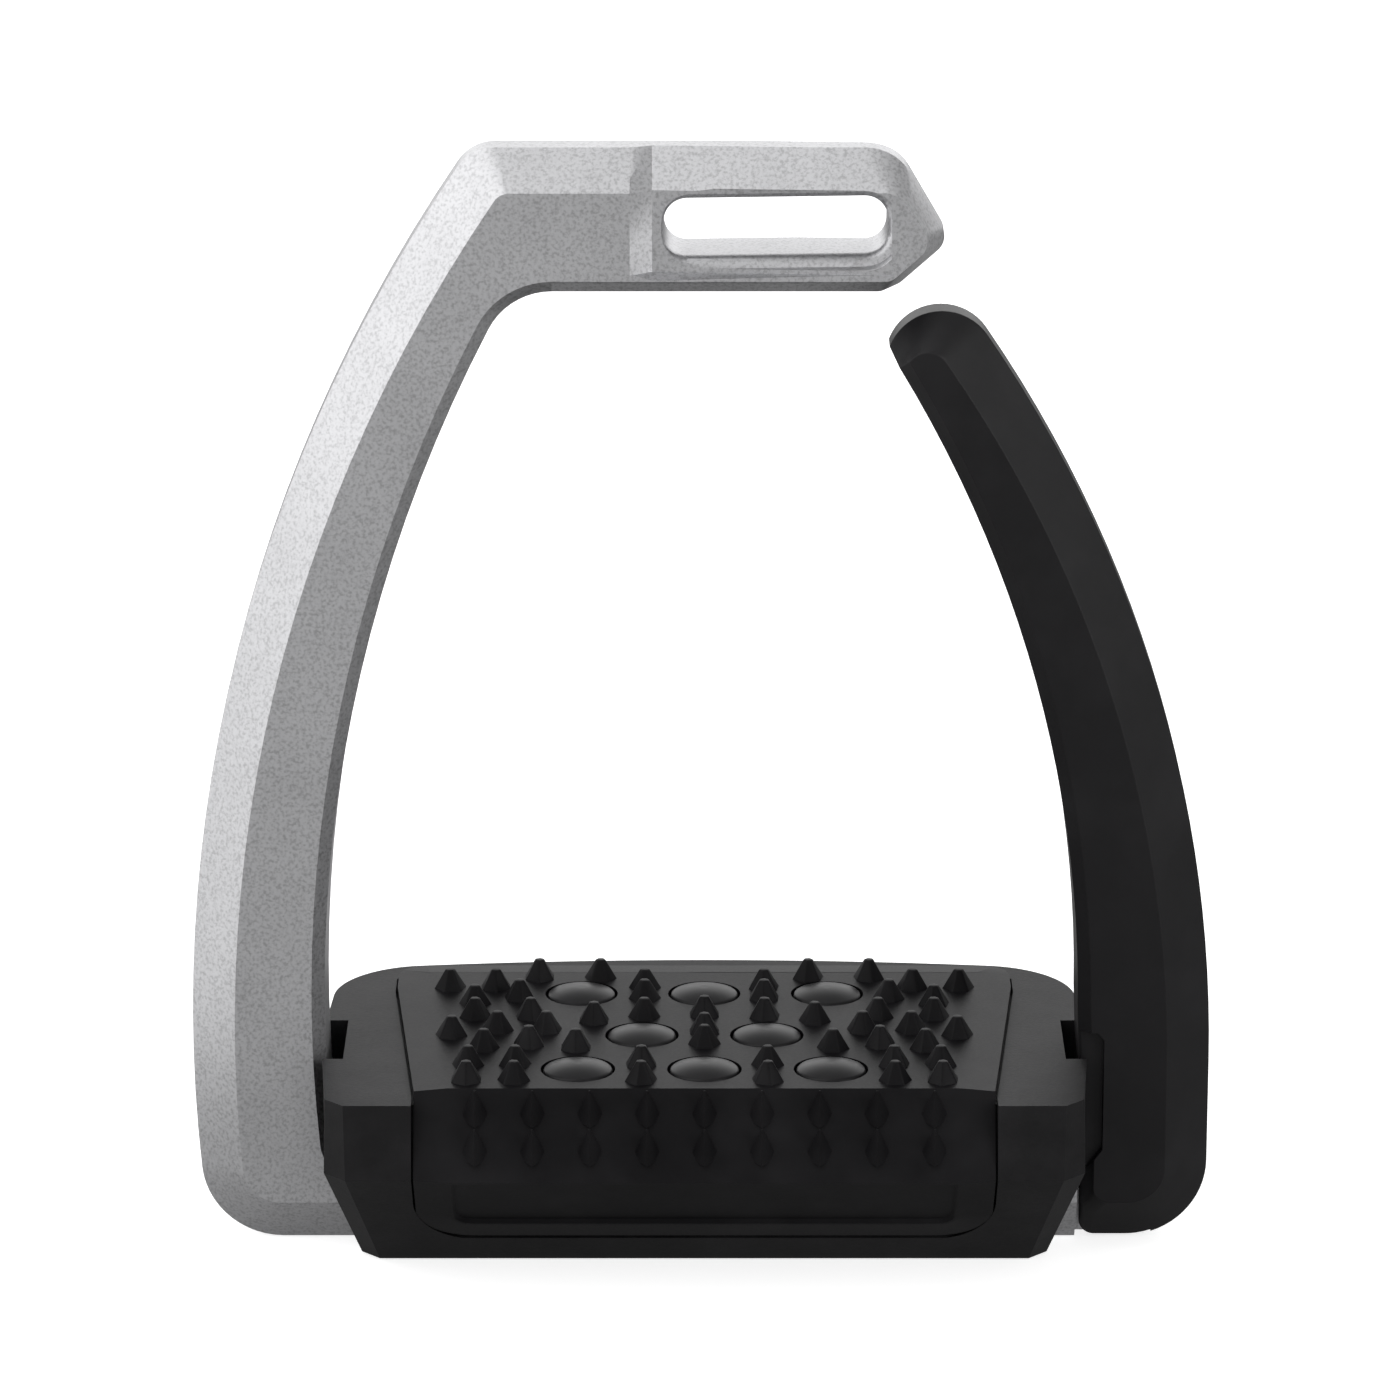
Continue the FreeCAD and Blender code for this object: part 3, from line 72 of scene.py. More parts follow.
class EdgeSizes(PropertyGroup):
    """Rounding of the edges, the box round the slot that is left alone, and the domes."""

    frame_edge: FloatProperty(
        name="Frame edges",
        description="Radius left on the aluminium's edges by tumbling and blasting",
        default=0.45 * MM, min=0.05 * MM, max=1.5 * MM, precision=5, unit="LENGTH")
    moulding_edge: FloatProperty(
        name="Moulded edges",
        description="Radius of the outer edges of the moulded pieces",
        default=0.35 * MM, min=0.05 * MM, max=1.5 * MM, precision=5, unit="LENGTH")
    button_crown: FloatProperty(
        name="Button crown", description="Height of a domed button's dome",
        default=1.2 * MM, min=0.2 * MM, max=3 * MM, precision=5, unit="LENGTH")
    slot_left: FloatProperty(
        name="Slot surround left", description="Left end of the slot's rounded surround",
        default=-15 * MM, min=-60 * MM, max=0, precision=5, unit="LENGTH")
    slot_right: FloatProperty(
        name="Slot surround right", description="Right end of the slot's rounded surround",
        default=38 * MM, min=10 * MM, max=80 * MM, precision=5, unit="LENGTH")
    slot_bottom: FloatProperty(
        name="Slot surround bottom", description="Bottom of the slot's rounded surround",
        default=157 * MM, min=100 * MM, max=200 * MM, precision=5, unit="LENGTH")
    slot_top: FloatProperty(
        name="Slot surround top", description="Top of the slot's rounded surround",
        default=171.5 * MM, min=100 * MM, max=200 * MM, precision=5, unit="LENGTH")


class PadSizes(PropertyGroup):
    """Sizes of the grip pad."""

    thickness: FloatProperty(
        name="Thickness", description="Wall of the grip pad",
        default=3.3 * MM, min=1 * MM, max=6 * MM, precision=5, unit="LENGTH")
    shoulder: FloatProperty(
        name="Shoulder", description="Straight side behind the pad's taper",
        default=10.5 * MM, min=5 * MM, max=30 * MM, precision=5, unit="LENGTH")
    deck_depth: FloatProperty(
        name="Deck depth", description="Top face, front to back",
        default=59.9 * MM, min=30 * MM, max=90 * MM, precision=5, unit="LENGTH")
    taper: FloatProperty(
        name="Taper", description="Narrowing of each side from rear to front",
        default=4.6 * MM, min=0, max=15 * MM, precision=5, unit="LENGTH")
    ridge_forward: FloatProperty(
        name="Ridge forward", description="Front ridge, ahead of the deck's front edge",
        default=6.5 * MM, min=1 * MM, max=15 * MM, precision=5, unit="LENGTH")
    ridge_drop: FloatProperty(
        name="Ridge drop", description="Front ridge, below the deck",
        default=13.3 * MM, min=5 * MM, max=25 * MM, precision=5, unit="LENGTH")
    tuck: FloatProperty(
        name="Tuck", description="Lower edge of the flap, behind the ridge",
        default=14.7 * MM, min=5 * MM, max=25 * MM, precision=5, unit="LENGTH")
    rear_corner: FloatProperty(
        name="Rear corners", description="Cut-off rear corners",
        default=4.5 * MM, min=1 * MM, max=12 * MM, precision=5, unit="LENGTH")
    flap_corner: FloatProperty(
        name="Flap corners", description="Radius of the front flap's lower corners",
        default=9 * MM, min=1 * MM, max=14 * MM, precision=5, unit="LENGTH")
    rim: FloatProperty(
        name="Rim", description="Width of the rim round the pad's field",
        default=5.2 * MM, min=1 * MM, max=10 * MM, precision=5, unit="LENGTH")
    rim_slant: FloatProperty(
        name="Rim slant", description="How far the rim falls back towards the casing",
        default=0.6 * MM, min=0, max=2 * MM, precision=5, unit="LENGTH")
    panel_rim: FloatProperty(
        name="Panel rim", description="Strip of the field left round the sunk panel",
        default=0.7 * MM, min=0.2 * MM, max=5 * MM, precision=5, unit="LENGTH")
    panel_sunk: FloatProperty(
        name="Panel depth", description="Depth of the sunk panel in the lower front",
        default=0.6 * MM, min=0.1 * MM, max=1.5 * MM, precision=5, unit="LENGTH")
    button_gap: FloatProperty(
        name="Button gap", description="Ring gap round a domed button",
        default=0.4 * MM, min=0.1 * MM, max=1 * MM, precision=5, unit="LENGTH")


class SpikeSizes(PropertyGroup):
    """Sizes of the spikes on the grip pad."""

    height: FloatProperty(
        name="Height", description="Deck spike above the pad",
        default=3.2 * MM, min=1 * MM, max=6 * MM, precision=5, unit="LENGTH")
    base: FloatProperty(
        name="Base", description="Radius of a deck spike at the pad, over its corners",
        default=2.7 * MM, min=0.5 * MM, max=4 * MM, precision=5, unit="LENGTH")
    tip: FloatProperty(
        name="Tip", description="Radius of a deck spike's blunt tip, over its corners",
        default=0.8 * MM, min=0.1 * MM, max=2 * MM, precision=5, unit="LENGTH")
    sides: IntProperty(
        name="Sides", description="Flat sides of a deck spike", default=6, min=3, max=12)
    turn: FloatProperty(
        name="Turn", description="How far each deck spike is turned beyond the one before",
        default=math.radians(23), precision=3, unit="ROTATION")
    front_height: FloatProperty(
        name="Front height", description="Front spike along its own axis",
        default=4.4 * MM, min=1 * MM, max=6 * MM, precision=5, unit="LENGTH")
    front_base: FloatProperty(
        name="Front base", description="Radius of a front spike where it leaves the pad",
        default=1.9 * MM, min=0.5 * MM, max=4 * MM, precision=5, unit="LENGTH")
    front_tip: FloatProperty(
        name="Front tip", description="Radius of a front spike's tip",
        default=0.2 * MM, min=0.05 * MM, max=2 * MM, precision=5, unit="LENGTH")
    front_sides: IntProperty(
        name="Front sides", description="Flat sides of a front spike",
        default=4, min=3, max=12)
    front_rise: FloatProperty(
        name="Front rise", description="Angle of the front spikes above the level",
        default=math.radians(72), precision=3, unit="ROTATION")
    solid_height: FloatProperty(
        name="Solid height", description="Front spike of the solid model along its axis",
        default=3.6 * MM, min=1 * MM, max=6 * MM, precision=5, unit="LENGTH")
    solid_rise: FloatProperty(
        name="Solid rise", description="Angle of the solid model's front spikes",
        default=math.radians(51.5), precision=3, unit="ROTATION")
    soft: FloatProperty(
        name="Soft corners", description="Rounding of a spike's corners and tip",
        default=0.16 * MM, min=0.05 * MM, max=1 * MM, precision=5, unit="LENGTH")


class Finishes(PropertyGroup):
    """Colours of the finishes, as sRGB hex values."""

    aluminium: StringProperty(
        name="Aluminium", description="Blasted aluminium", default="#D8D8DA")
    arm_nylon: StringProperty(
        name="Arm", description="Release arm's black nylon", default="#141315")
    casing_nylon: StringProperty(
        name="Casing", description="Tread casing's textured nylon", default="#0F0E10")
    pad_nylon: StringProperty(
        name="Grip pad", description="Grip pad's satin nylon", default="#0F0E10")
    rubber: StringProperty(
        name="Buttons", description="Elastomer of the domed buttons", default="#0E0D0F")


class StageSizes(PropertyGroup):
    """Camera and studio."""

    camera_place: FloatVectorProperty(
        name="Camera", description="Where the camera stands", size=3,
        default=(-0.0002, -1.034, 0.4088), precision=4, unit="LENGTH")
    camera_pitch: FloatProperty(
        name="Pitch", description="How far the camera looks down",
        default=math.radians(17.2), precision=4, unit="ROTATION")
    lens: FloatProperty(
        name="Lens", description="Focal length in millimetres on a 36 mm sensor",
        default=175.4)
    floor_size: FloatProperty(
        name="Floor", description="Side of the floor", default=6.0, unit="LENGTH")


# ---------------------------------------------------------------- mesh helpers

def deselect_all():
    """Leave nothing selected and nothing active."""
    if bpy.context.object and bpy.context.object.mode != "OBJECT":
        bpy.ops.object.mode_set(mode="OBJECT")
    bpy.ops.object.select_all(action="DESELECT")


def make_active(piece):
    """Select one object alone."""
    deselect_all()
    piece.select_set(True)
    bpy.context.view_layer.objects.active = piece


def named_active(name):
    """Name the object that an operator has just added."""
    piece = bpy.context.object
    piece.name = name
    piece.data.name = name
    return piece


def place_in_mesh(piece):
    """Move an object's place, turn and size into its mesh."""
    make_active(piece)
    bpy.ops.object.transform_apply(location=True, rotation=True, scale=True)


def select_where(piece, kind, test):
    """In edit mode, select only the vertices, edges or faces that pass a test."""
    bpy.ops.mesh.select_mode(type=kind)
    bpy.ops.mesh.select_all(action="DESELECT")
    mesh = bmesh.from_edit_mesh(piece.data)
    parts = {"VERT": mesh.verts, "EDGE": mesh.edges, "FACE": mesh.faces}[kind]
    for part in parts:
        part.select_set(test(part))
    mesh.select_flush_mode()
    bmesh.update_edit_mesh(piece.data)


def edge_middle(edge):
    """The middle of an edge."""
    return (edge.verts[0].co + edge.verts[1].co) / 2


def apply_modifier(piece, kind, name, **settings):
    """Add a modifier with its settings and apply it."""
    make_active(piece)
    modifier = piece.modifiers.new(name, kind)
    for setting, value in settings.items():
        setattr(modifier, setting, value)
    bpy.ops.object.modifier_apply(modifier=modifier.name)


def soften(piece, width, angle):
    """Round every edge sharper than an angle, then shade the rest smooth."""
    apply_modifier(piece, "BEVEL", "soft edges", width=width, segments=EDGE_STEPS,
                   limit_method="ANGLE", angle_limit=angle, use_clamp_overlap=True)
    shade_flats_flat(piece)


def shade_flats_flat(piece):
    """Shade smooth up to a crease angle, with each large face keeping its own normal."""
    make_active(piece)
    bpy.ops.object.shade_smooth_by_angle(angle=CREASE)
    apply_modifier(piece, "WEIGHTED_NORMAL", "flats", keep_sharp=True, weight=100)


def inside_box(point, low, high):
    """Whether a point lies in an upright box."""
    return all(low[axis] <= point[axis] <= high[axis] for axis in range(3))


def soften_outside(piece, width, angle, low, high):
    """Round the edges sharper than an angle that lie outside a box."""
    make_active(piece)
    bpy.ops.object.mode_set(mode="EDIT")
    select_where(piece, "EDGE", lambda edge: len(edge.link_faces) == 2
                 and edge.calc_face_angle() > angle
                 and not inside_box(edge_middle(edge), low, high))
    bpy.ops.mesh.bevel(offset=width, segments=EDGE_STEPS, affect="EDGES",
                       clamp_overlap=True)
    bpy.ops.object.mode_set(mode="OBJECT")
    shade_flats_flat(piece)


def merged_copy(node, name):
    """A copy of a CAD node with its loose triangles merged and its flats dissolved."""
    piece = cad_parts[node].copy()
    piece.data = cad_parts[node].data.copy()
    piece.name = name
    piece.data.name = name
    for key in list(piece.keys()):
        if key.startswith("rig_"):
            del piece[key]
    piece.parent = None
    bpy.context.scene.collection.objects.link(piece)
    make_active(piece)
    if piece.data.has_custom_normals:
        bpy.ops.mesh.customdata_custom_splitnormals_clear()
    bpy.ops.object.mode_set(mode="EDIT")
    bpy.ops.mesh.select_all(action="SELECT")
    bpy.ops.mesh.remove_doubles(threshold=WELD_DISTANCE)
    bpy.ops.mesh.dissolve_limited(angle_limit=FLAT_ANGLE)
    bpy.ops.object.mode_set(mode="OBJECT")
    return piece


def finish_piece(piece, body, material, slot, *nodes):
    """Give a piece its material and its body, and hide the CAD nodes that it stands for; slot is not
    used.
    """
    piece.data.materials.clear()
    piece.data.materials.append(material)
    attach(piece, body)
    if nodes:
        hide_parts(*nodes)


def dress(node, material):
    """Put a material in a CAD node's own slots."""
    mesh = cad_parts[node].data
    if not mesh.materials:
        mesh.materials.append(material)
    for index in range(len(mesh.materials)):
        mesh.materials[index] = material


# ---------------------------------------------------------------- material helpers

def colour(code):
    """A linear colour from an sRGB hex code."""
    parts = [int(code[index:index + 2], 16) / 255 for index in (1, 3, 5)]
    linear = [part / 12.92 if part <= 0.04045 else ((part + 0.055) / 1.055) ** 2.4
              for part in parts]
    return (*linear, 1.0)


def new_material(name):
    """A material with a Principled shader and Object coordinates: tree, shader, places."""
    material = bpy.data.materials.new(name)
    material.use_nodes = True
    tree = material.node_tree
    shader = tree.nodes["Principled BSDF"]
    places = tree.nodes.new("ShaderNodeTexCoord").outputs["Object"]
    return material, tree, shader, places


def add_node(tree, kind, settings=None, **inputs):
    """Add a node and give its first live output.

    settings are the node's properties, and inputs its sockets' values or links, with
    underscores for the spaces in a socket's name.
    """
    node = tree.nodes.new(kind)
    for name, value in (settings or {}).items():
        setattr(node, name, value)
    for name, value in inputs.items():
        live = [socket for socket in node.inputs if socket.enabled]
        socket = [socket for socket in live if socket.name == name.replace("_", " ")][0]
        if isinstance(value, bpy.types.NodeSocket):
            tree.links.new(value, socket)
        else:
            socket.default_value = value
    live_outputs = [socket for socket in node.outputs if socket.enabled]
    return live_outputs[0] if live_outputs else None


def ramp(tree, factor, stops):
    """A grey that follows a factor through stops, each a pair of place and grey."""
    output = add_node(tree, "ShaderNodeValToRGB", Fac=factor)
    elements = output.node.color_ramp.elements
    while len(elements) < len(stops):
        elements.new(0.5)
    for element, (place, grey) in zip(elements, stops):
        element.position = place
        element.color = (grey, grey, grey, 1)
    return output


def noise(tree, places, millimetres, detail=3.0, roughness=0.6):
    """Noise whose grains are this wide."""
    return add_node(tree, "ShaderNodeTexNoise", Vector=places, Detail=detail,
                    Scale=1 / (millimetres * MM), Roughness=roughness)


def times(tree, first, second):
    """Two colours multiplied."""
    return add_node(tree, "ShaderNodeMix", {"data_type": "RGBA", "blend_type": "MULTIPLY"},
                    Factor=1.0, A=first, B=second)


def lighter(tree, factor, dark, light):
    """A mix from a dark colour to a light one by a factor."""
    return add_node(tree, "ShaderNodeMix", {"data_type": "RGBA"},
                    Factor=factor, A=dark, B=light)


def spread(tree, factor, low, high):
    """A factor from 0 to 1 spread between two values."""
    return add_node(tree, "ShaderNodeMapRange", Value=factor, To_Min=low, To_Max=high)


def bumps(tree, shader, *layers):
    """Stack bump layers on a shader: each a height, its depth in millimetres and strength."""
    normal = None
    for height, depth, strength in layers:
        sockets = {"Height": height, "Distance": depth * MM, "Strength": strength}
        if normal:
            sockets["Normal"] = normal
        normal = add_node(tree, "ShaderNodeBump", **sockets)
    tree.links.new(normal, shader.inputs["Normal"])


# ---------------------------------------------------------------- materials

def blasted_aluminium(code):
    """Cast aluminium, bead-blasted and clear anodised.

    A satin metal with a fine speckle of lighter and darker craters, and faint clouds
    where the blast lingered. Real craters are finer than these, which are drawn 0.55 mm
    wide so that they show.
    """
    material, tree, shader, places = new_material("bead_blasted_aluminium")
    grit = noise(tree, places, 0.55)
    clouds = noise(tree, places, 14, detail=4.0)
    speckle = ramp(tree, grit, ((0.34, 0.70), (0.52, 0.95), (0.66, 1.0)))
    cloud = ramp(tree, clouds, ((0.3, 0.92), (0.7, 1.0)))
    metal = times(tree, times(tree, colour(code), speckle), cloud)
    tree.links.new(metal, shader.inputs["Base Color"])
    tree.links.new(spread(tree, grit, 0.36, 0.52), shader.inputs["Roughness"])
    shader.inputs["Metallic"].default_value = 1.0
    bumps(tree, shader, (clouds, 0.05, 0.3), (grit, 0.03, 0.5))
    return material


def moulded_nylon(name, code, grain, depth, roughness, mottle, gloss):
    """Glass-filled nylon moulded in a spark-eroded tool.

    Nearly black, with the tool's fine grain, glass fibres that lighten it in patches
    about 9 mm wide, and patches about 26 mm wide that handling has rubbed lighter. grain
    is the width of the tool's grain and depth its depth, in millimetres. The grain is
    drawn coarser than a real one, so that it shows.
    """
    fibre_grey = colour("#302F31")
    rubbed_grey = colour("#3C3B3D")
    swing = 0.06
    material, tree, shader, places = new_material(name)
    tool_grain = noise(tree, places, grain, detail=4.0, roughness=0.7)
    patches = noise(tree, places, 9, detail=5.0, roughness=0.65)
    handled = ramp(tree, noise(tree, places, 26), ((0.5, 0.0), (0.8, 0.25)))
    dark = times(tree, colour(code), ramp(tree, tool_grain, ((0.3, 1 - mottle), (0.7, 1.0))))
    fibres = ramp(tree, patches, ((0.4, 0.0), (0.75, mottle)))
    patched = lighter(tree, fibres, dark, fibre_grey)
    tree.links.new(lighter(tree, handled, patched, rubbed_grey), shader.inputs["Base Color"])
    tree.links.new(spread(tree, tool_grain, roughness - swing, roughness + swing),
                   shader.inputs["Roughness"])
    shader.inputs["IOR"].default_value = 1.5
    shader.inputs["Specular IOR Level"].default_value = gloss
    bumps(tree, shader, (patches, 0.04, 0.2), (tool_grain, depth, 0.6))
    return material


def soft_rubber(name, code):
    """Moulded elastomer: satin, with a faint bloom and a fine grain 0.35 mm wide."""
    bloom_grey = colour("#222123")
    material, tree, shader, places = new_material(name)
    grain = noise(tree, places, 0.35)
    bloom = noise(tree, places, 5, detail=4.0)
    bloomed = ramp(tree, bloom, ((0.4, 0.0), (0.8, 0.35)))
    tree.links.new(lighter(tree, bloomed, colour(code), bloom_grey),
                   shader.inputs["Base Color"])
    tree.links.new(spread(tree, bloom, 0.34, 0.46), shader.inputs["Roughness"])
    shader.inputs["IOR"].default_value = 1.5
    shader.inputs["Specular IOR Level"].default_value = 0.25
    shader.inputs["Sheen Weight"].default_value = 0.02
    bumps(tree, shader, (grain, 0.01, 0.4))
    return material


def turned_metal(name, code, roughness, groove):
    """Turned or ground metal with machining marks and a few handling smudges.

    A Wave texture runs through 20 radians in each unit of its scale, so the marks stand
    2 pi times groove millimetres apart. Real ones are finer, and would be too fine to
    show.
    """
    wave_rate = 20
    smudge_roughness = 0.14
    material, tree, shader, places = new_material(name)
    bands = {"wave_type": "BANDS", "bands_direction": "Z"}
    marks = add_node(tree, "ShaderNodeTexWave", bands, Vector=places, Distortion=1.5,
                     Detail=2.0, Scale=1 / (groove * MM) / wave_rate)
    smudges = noise(tree, places, 3)
    smudged = times(tree, colour(code), ramp(tree, smudges, ((0.3, 0.82), (0.7, 1.0))))
    tree.links.new(smudged, shader.inputs["Base Color"])
    tree.links.new(spread(tree, smudges, roughness, roughness + smudge_roughness),
                   shader.inputs["Roughness"])
    shader.inputs["Metallic"].default_value = 1.0
    bumps(tree, shader, (marks, 0.01, 0.25))
    return material


# ---------------------------------------------------------------- operators

class STIRRUP_OT_frame(Operator):
    """Aluminium frame: fixed branch, eye bar with its leather slot, and crossbar"""

    bl_idname = "stirrup.frame"
    bl_label = "Frame"

    def execute(self, context):
        piece = merged_copy("frame", "frame_casting")
        edges = context.scene.stirrup_edges
        far = 1.0
        slot_low = Vector((edges.slot_left, -far, edges.slot_bottom))
        slot_high = Vector((edges.slot_right, far, edges.slot_top))
        soften_outside(piece, edges.frame_edge, BODY_EDGE_ANGLE, slot_low, slot_high)
        material = blasted_aluminium(context.scene.stirrup_finishes.aluminium)
        finish_piece(piece, "frame", material, "frame_aluminium", "frame")
        return {"FINISHED"}


class STIRRUP_OT_release_arm(Operator):
    """Moulded release arm with softened edges, and the plug over its hinge pin"""

    bl_idname = "stirrup.release_arm"
    bl_label = "Release arm"

    def execute(self, context):
        piece = merged_copy("release_arm", "release_arm_moulding")
        soften(piece, context.scene.stirrup_edges.moulding_edge, BODY_EDGE_ANGLE)
        material = moulded_nylon("satin_black_nylon", context.scene.stirrup_finishes.arm_nylon,
                                 grain=0.5, depth=0.015, roughness=0.44, mottle=0.12, gloss=0.3)
        finish_piece(piece, "release_arm", material, "arm_composite", "release_arm")
        dress("pin_plug", material)
        return {"FINISHED"}


class STIRRUP_OT_tread_casing(Operator):
    """Tread casing moulded over the crossbar"""

    bl_idname = "stirrup.tread_casing"
    bl_label = "Tread casing"

    def execute(self, context):
        piece = merged_copy("tread_casing", "tread_casing_moulding")
        soften(piece, context.scene.stirrup_edges.moulding_edge, BODY_EDGE_ANGLE)
        material = moulded_nylon("textured_black_nylon",
                                 context.scene.stirrup_finishes.casing_nylon,
                                 grain=0.7, depth=0.05, roughness=0.55, mottle=0.28, gloss=0.25)
        finish_piece(piece, "frame", material, "casing_composite", "tread_casing")
        return {"FINISHED"}


def clusters(points, gap):
    """The middles of groups of points that lie within a gap of each other."""
    groups = []
    for point in points:
        near = [group for group in groups if (group[0] - point).length < gap]
        if near:
            near[0].append(point)
        else:
            groups.append([point])
    return [sum(group, Vector()) / len(group) for group in groups]


def spike_tips(place, normal, reach, slack):
    """Middles of the solid pad's spike tips, row by row.

    The tips are the points that reach so far over a plane, and slack is how much nearer
    or farther they may be, as a part of that reach.
    """
    widest_tip = 1.6 * MM
    nearest = (1 - slack) * reach
    farthest = (1 + slack) * reach
    points = [vertex.co.copy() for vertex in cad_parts["grip_pad"].data.vertices]
    tips = [point for point in points if nearest < (point - place).dot(normal) < farthest]
    return sorted(clusters(tips, widest_tip), key=lambda tip: (round(tip.y / MM), tip.x))


def model_spike(name, sides, base, tip, height, soft):
    """A spike at the origin that reaches below the level by its foot, corners rounded."""
    deselect_all()
    foot_base = base * (1 + SPIKE_FOOT / height) - tip * SPIKE_FOOT / height
    bpy.ops.mesh.primitive_cone_add(vertices=sides, radius1=foot_base, radius2=tip,
                                    depth=height + SPIKE_FOOT,
                                    location=(0, 0, (height - SPIKE_FOOT) / 2),
                                    end_fill_type="NGON")
    piece = named_active(name)
    place_in_mesh(piece)
    bpy.ops.object.mode_set(mode="EDIT")
    select_where(piece, "EDGE", lambda edge: edge_middle(edge).z > NEARLY - SPIKE_FOOT)
    bpy.ops.mesh.bevel(offset=soft, segments=EDGE_STEPS, affect="EDGES", clamp_overlap=True)
    bpy.ops.object.mode_set(mode="OBJECT")
    return piece


def stand_copy(pattern, foot, axis, turn):
    """A copy of a piece with its own mesh, turned about its axis and stood on a foot."""
    copy = pattern.copy()
    copy.data = pattern.data.copy()
    bpy.context.scene.collection.objects.link(copy)
    lean = Vector((0, 0, 1)).rotation_difference(axis).to_matrix().to_4x4()
    spin = Matrix.Rotation(turn, 4, "Z")
    copy.data.transform(Matrix.Translation(foot) @ lean @ spin)
    return copy


def pad_places(sizes, spikes):
    """Where the pad's deck, ridge and lower edge are, worked out from its CAD node's box."""
    low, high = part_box("grip_pad")
    top = high.z - spikes.height
    front = high.y - sizes.deck_depth
    return {
        "middle": (low.x + high.x) / 2,
        "half": (high.x - low.x) / 2,
        "rear": high.y,
        "top": top,
        "front": front,
        "ridge": (front - sizes.ridge_forward, top - sizes.ridge_drop),
        "lower": (front - sizes.ridge_forward + sizes.tuck, low.z),
    }


def pull_front_edge(shift_back, shift_up, narrower=1.0):
    """Extrude the selected front edge and narrow the new edge."""
    bpy.ops.mesh.extrude_region_move(
        TRANSFORM_OT_translate={"value": (0, shift_back, shift_up)})
    if narrower != 1.0:
        bpy.ops.transform.resize(value=(narrower, 1, 1))


def model_pad_skin(sizes, places):
    """The pad's outer skin: a field over the deck and front, and the rim round it."""
    ridge_up = places["ridge"][1]
    lower_up = places["lower"][1]
    half = places["half"]
    rear_steps = 3
    flap_steps = 8
    strip_corners = 6
    deselect_all()
    bpy.ops.mesh.primitive_plane_add(size=1)
    piece = named_active("grip_pad_moulding")
    bpy.ops.object.mode_set(mode="EDIT")
    bpy.ops.transform.resize(value=(2 * half, sizes.shoulder, 1))
    bpy.ops.transform.translate(
        value=(places["middle"], places["rear"] - sizes.shoulder / 2, places["top"]))
    shoulder_end = places["rear"] - sizes.shoulder
    select_where(piece, "EDGE", lambda edge: edge_middle(edge).y < shoulder_end + NEARLY)
    taper_run = sizes.deck_depth - sizes.shoulder
    pull_front_edge(-taper_run, 0, (half - sizes.taper) / half)
    pull_front_edge(-sizes.ridge_forward, -sizes.ridge_drop)
    pull_front_edge(sizes.tuck, lower_up - ridge_up)

    select_where(piece, "VERT", lambda vertex: vertex.co.y > places["rear"] - NEARLY)
    bpy.ops.mesh.bevel(offset=sizes.rear_corner, segments=rear_steps, affect="VERTICES")
    select_where(piece, "VERT", lambda vertex: vertex.co.z < lower_up + NEARLY)
    bpy.ops.mesh.bevel(offset=sizes.flap_corner, segments=flap_steps, affect="VERTICES")

    bpy.ops.mesh.select_all(action="SELECT")
    bpy.ops.mesh.inset(thickness=sizes.rim, depth=0, use_boundary=True)
    select_where(piece, "EDGE", lambda edge: edge.is_boundary)
    bpy.ops.transform.shrink_fatten(value=-sizes.rim_slant)

    def is_lower_field(face):
        """The many-sided face under the ridge, and not a strip of the rim round it."""
        highest = max(vertex.co.z for vertex in face.verts)
        return highest < ridge_up + NEARLY and len(face.verts) > strip_corners

    select_where(piece, "FACE", is_lower_field)
    bpy.ops.mesh.inset(thickness=sizes.panel_rim, depth=0)
    bpy.ops.mesh.inset(thickness=sizes.panel_sunk, depth=-sizes.panel_sunk)
    bpy.ops.object.mode_set(mode="OBJECT")
    return piece


def bore_for_buttons(piece, gap):
    """Bore the pad through wherever a domed button stands."""
    bore_depth = 10 * MM
    bore_sides = 64
    cutters = []
    for node in button_nodes():
        low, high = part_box(node)
        deselect_all()
        bpy.ops.mesh.primitive_cylinder_add(
            vertices=bore_sides, radius=(high.x - low.x) / 2 + gap, depth=bore_depth,
            location=(low + high) / 2)
        cutters.append(named_active(f"bore_{node}"))
        place_in_mesh(cutters[-1])
    cutter = join_pieces(cutters, "button_bores")
    apply_modifier(piece, "BOOLEAN", "bores", operation="DIFFERENCE", object=cutter)
    bpy.data.objects.remove(cutter)


def join_pieces(pieces, name):
    """Join several objects into the first."""
    deselect_all()
    for piece in pieces:
        piece.select_set(True)
    bpy.context.view_layer.objects.active = pieces[0]
    bpy.ops.object.join()
    return named_active(name)


def stand_deck_spikes(spikes, places):
    """Blunt many-sided spikes on the deck, each turned a little from the last."""
    pattern = model_spike("deck_spike", spikes.sides, spikes.base, spikes.tip,
                          spikes.height, spikes.soft)
    up = Vector((0, 0, 1))
    deck = Vector((0, 0, places["top"]))
    tips = spike_tips(deck, up, spikes.height, slack=0.1)
    stood = [
        stand_copy(pattern, Vector((tip.x, tip.y, places["top"])), up, number * spikes.turn)
        for number, tip in enumerate(tips)
    ]
    bpy.data.objects.remove(pattern)
    return stood


def forward_axis(rise):
    """A direction that points forwards and up at an angle above the level."""
    return Vector((0, -math.cos(rise), math.sin(rise)))


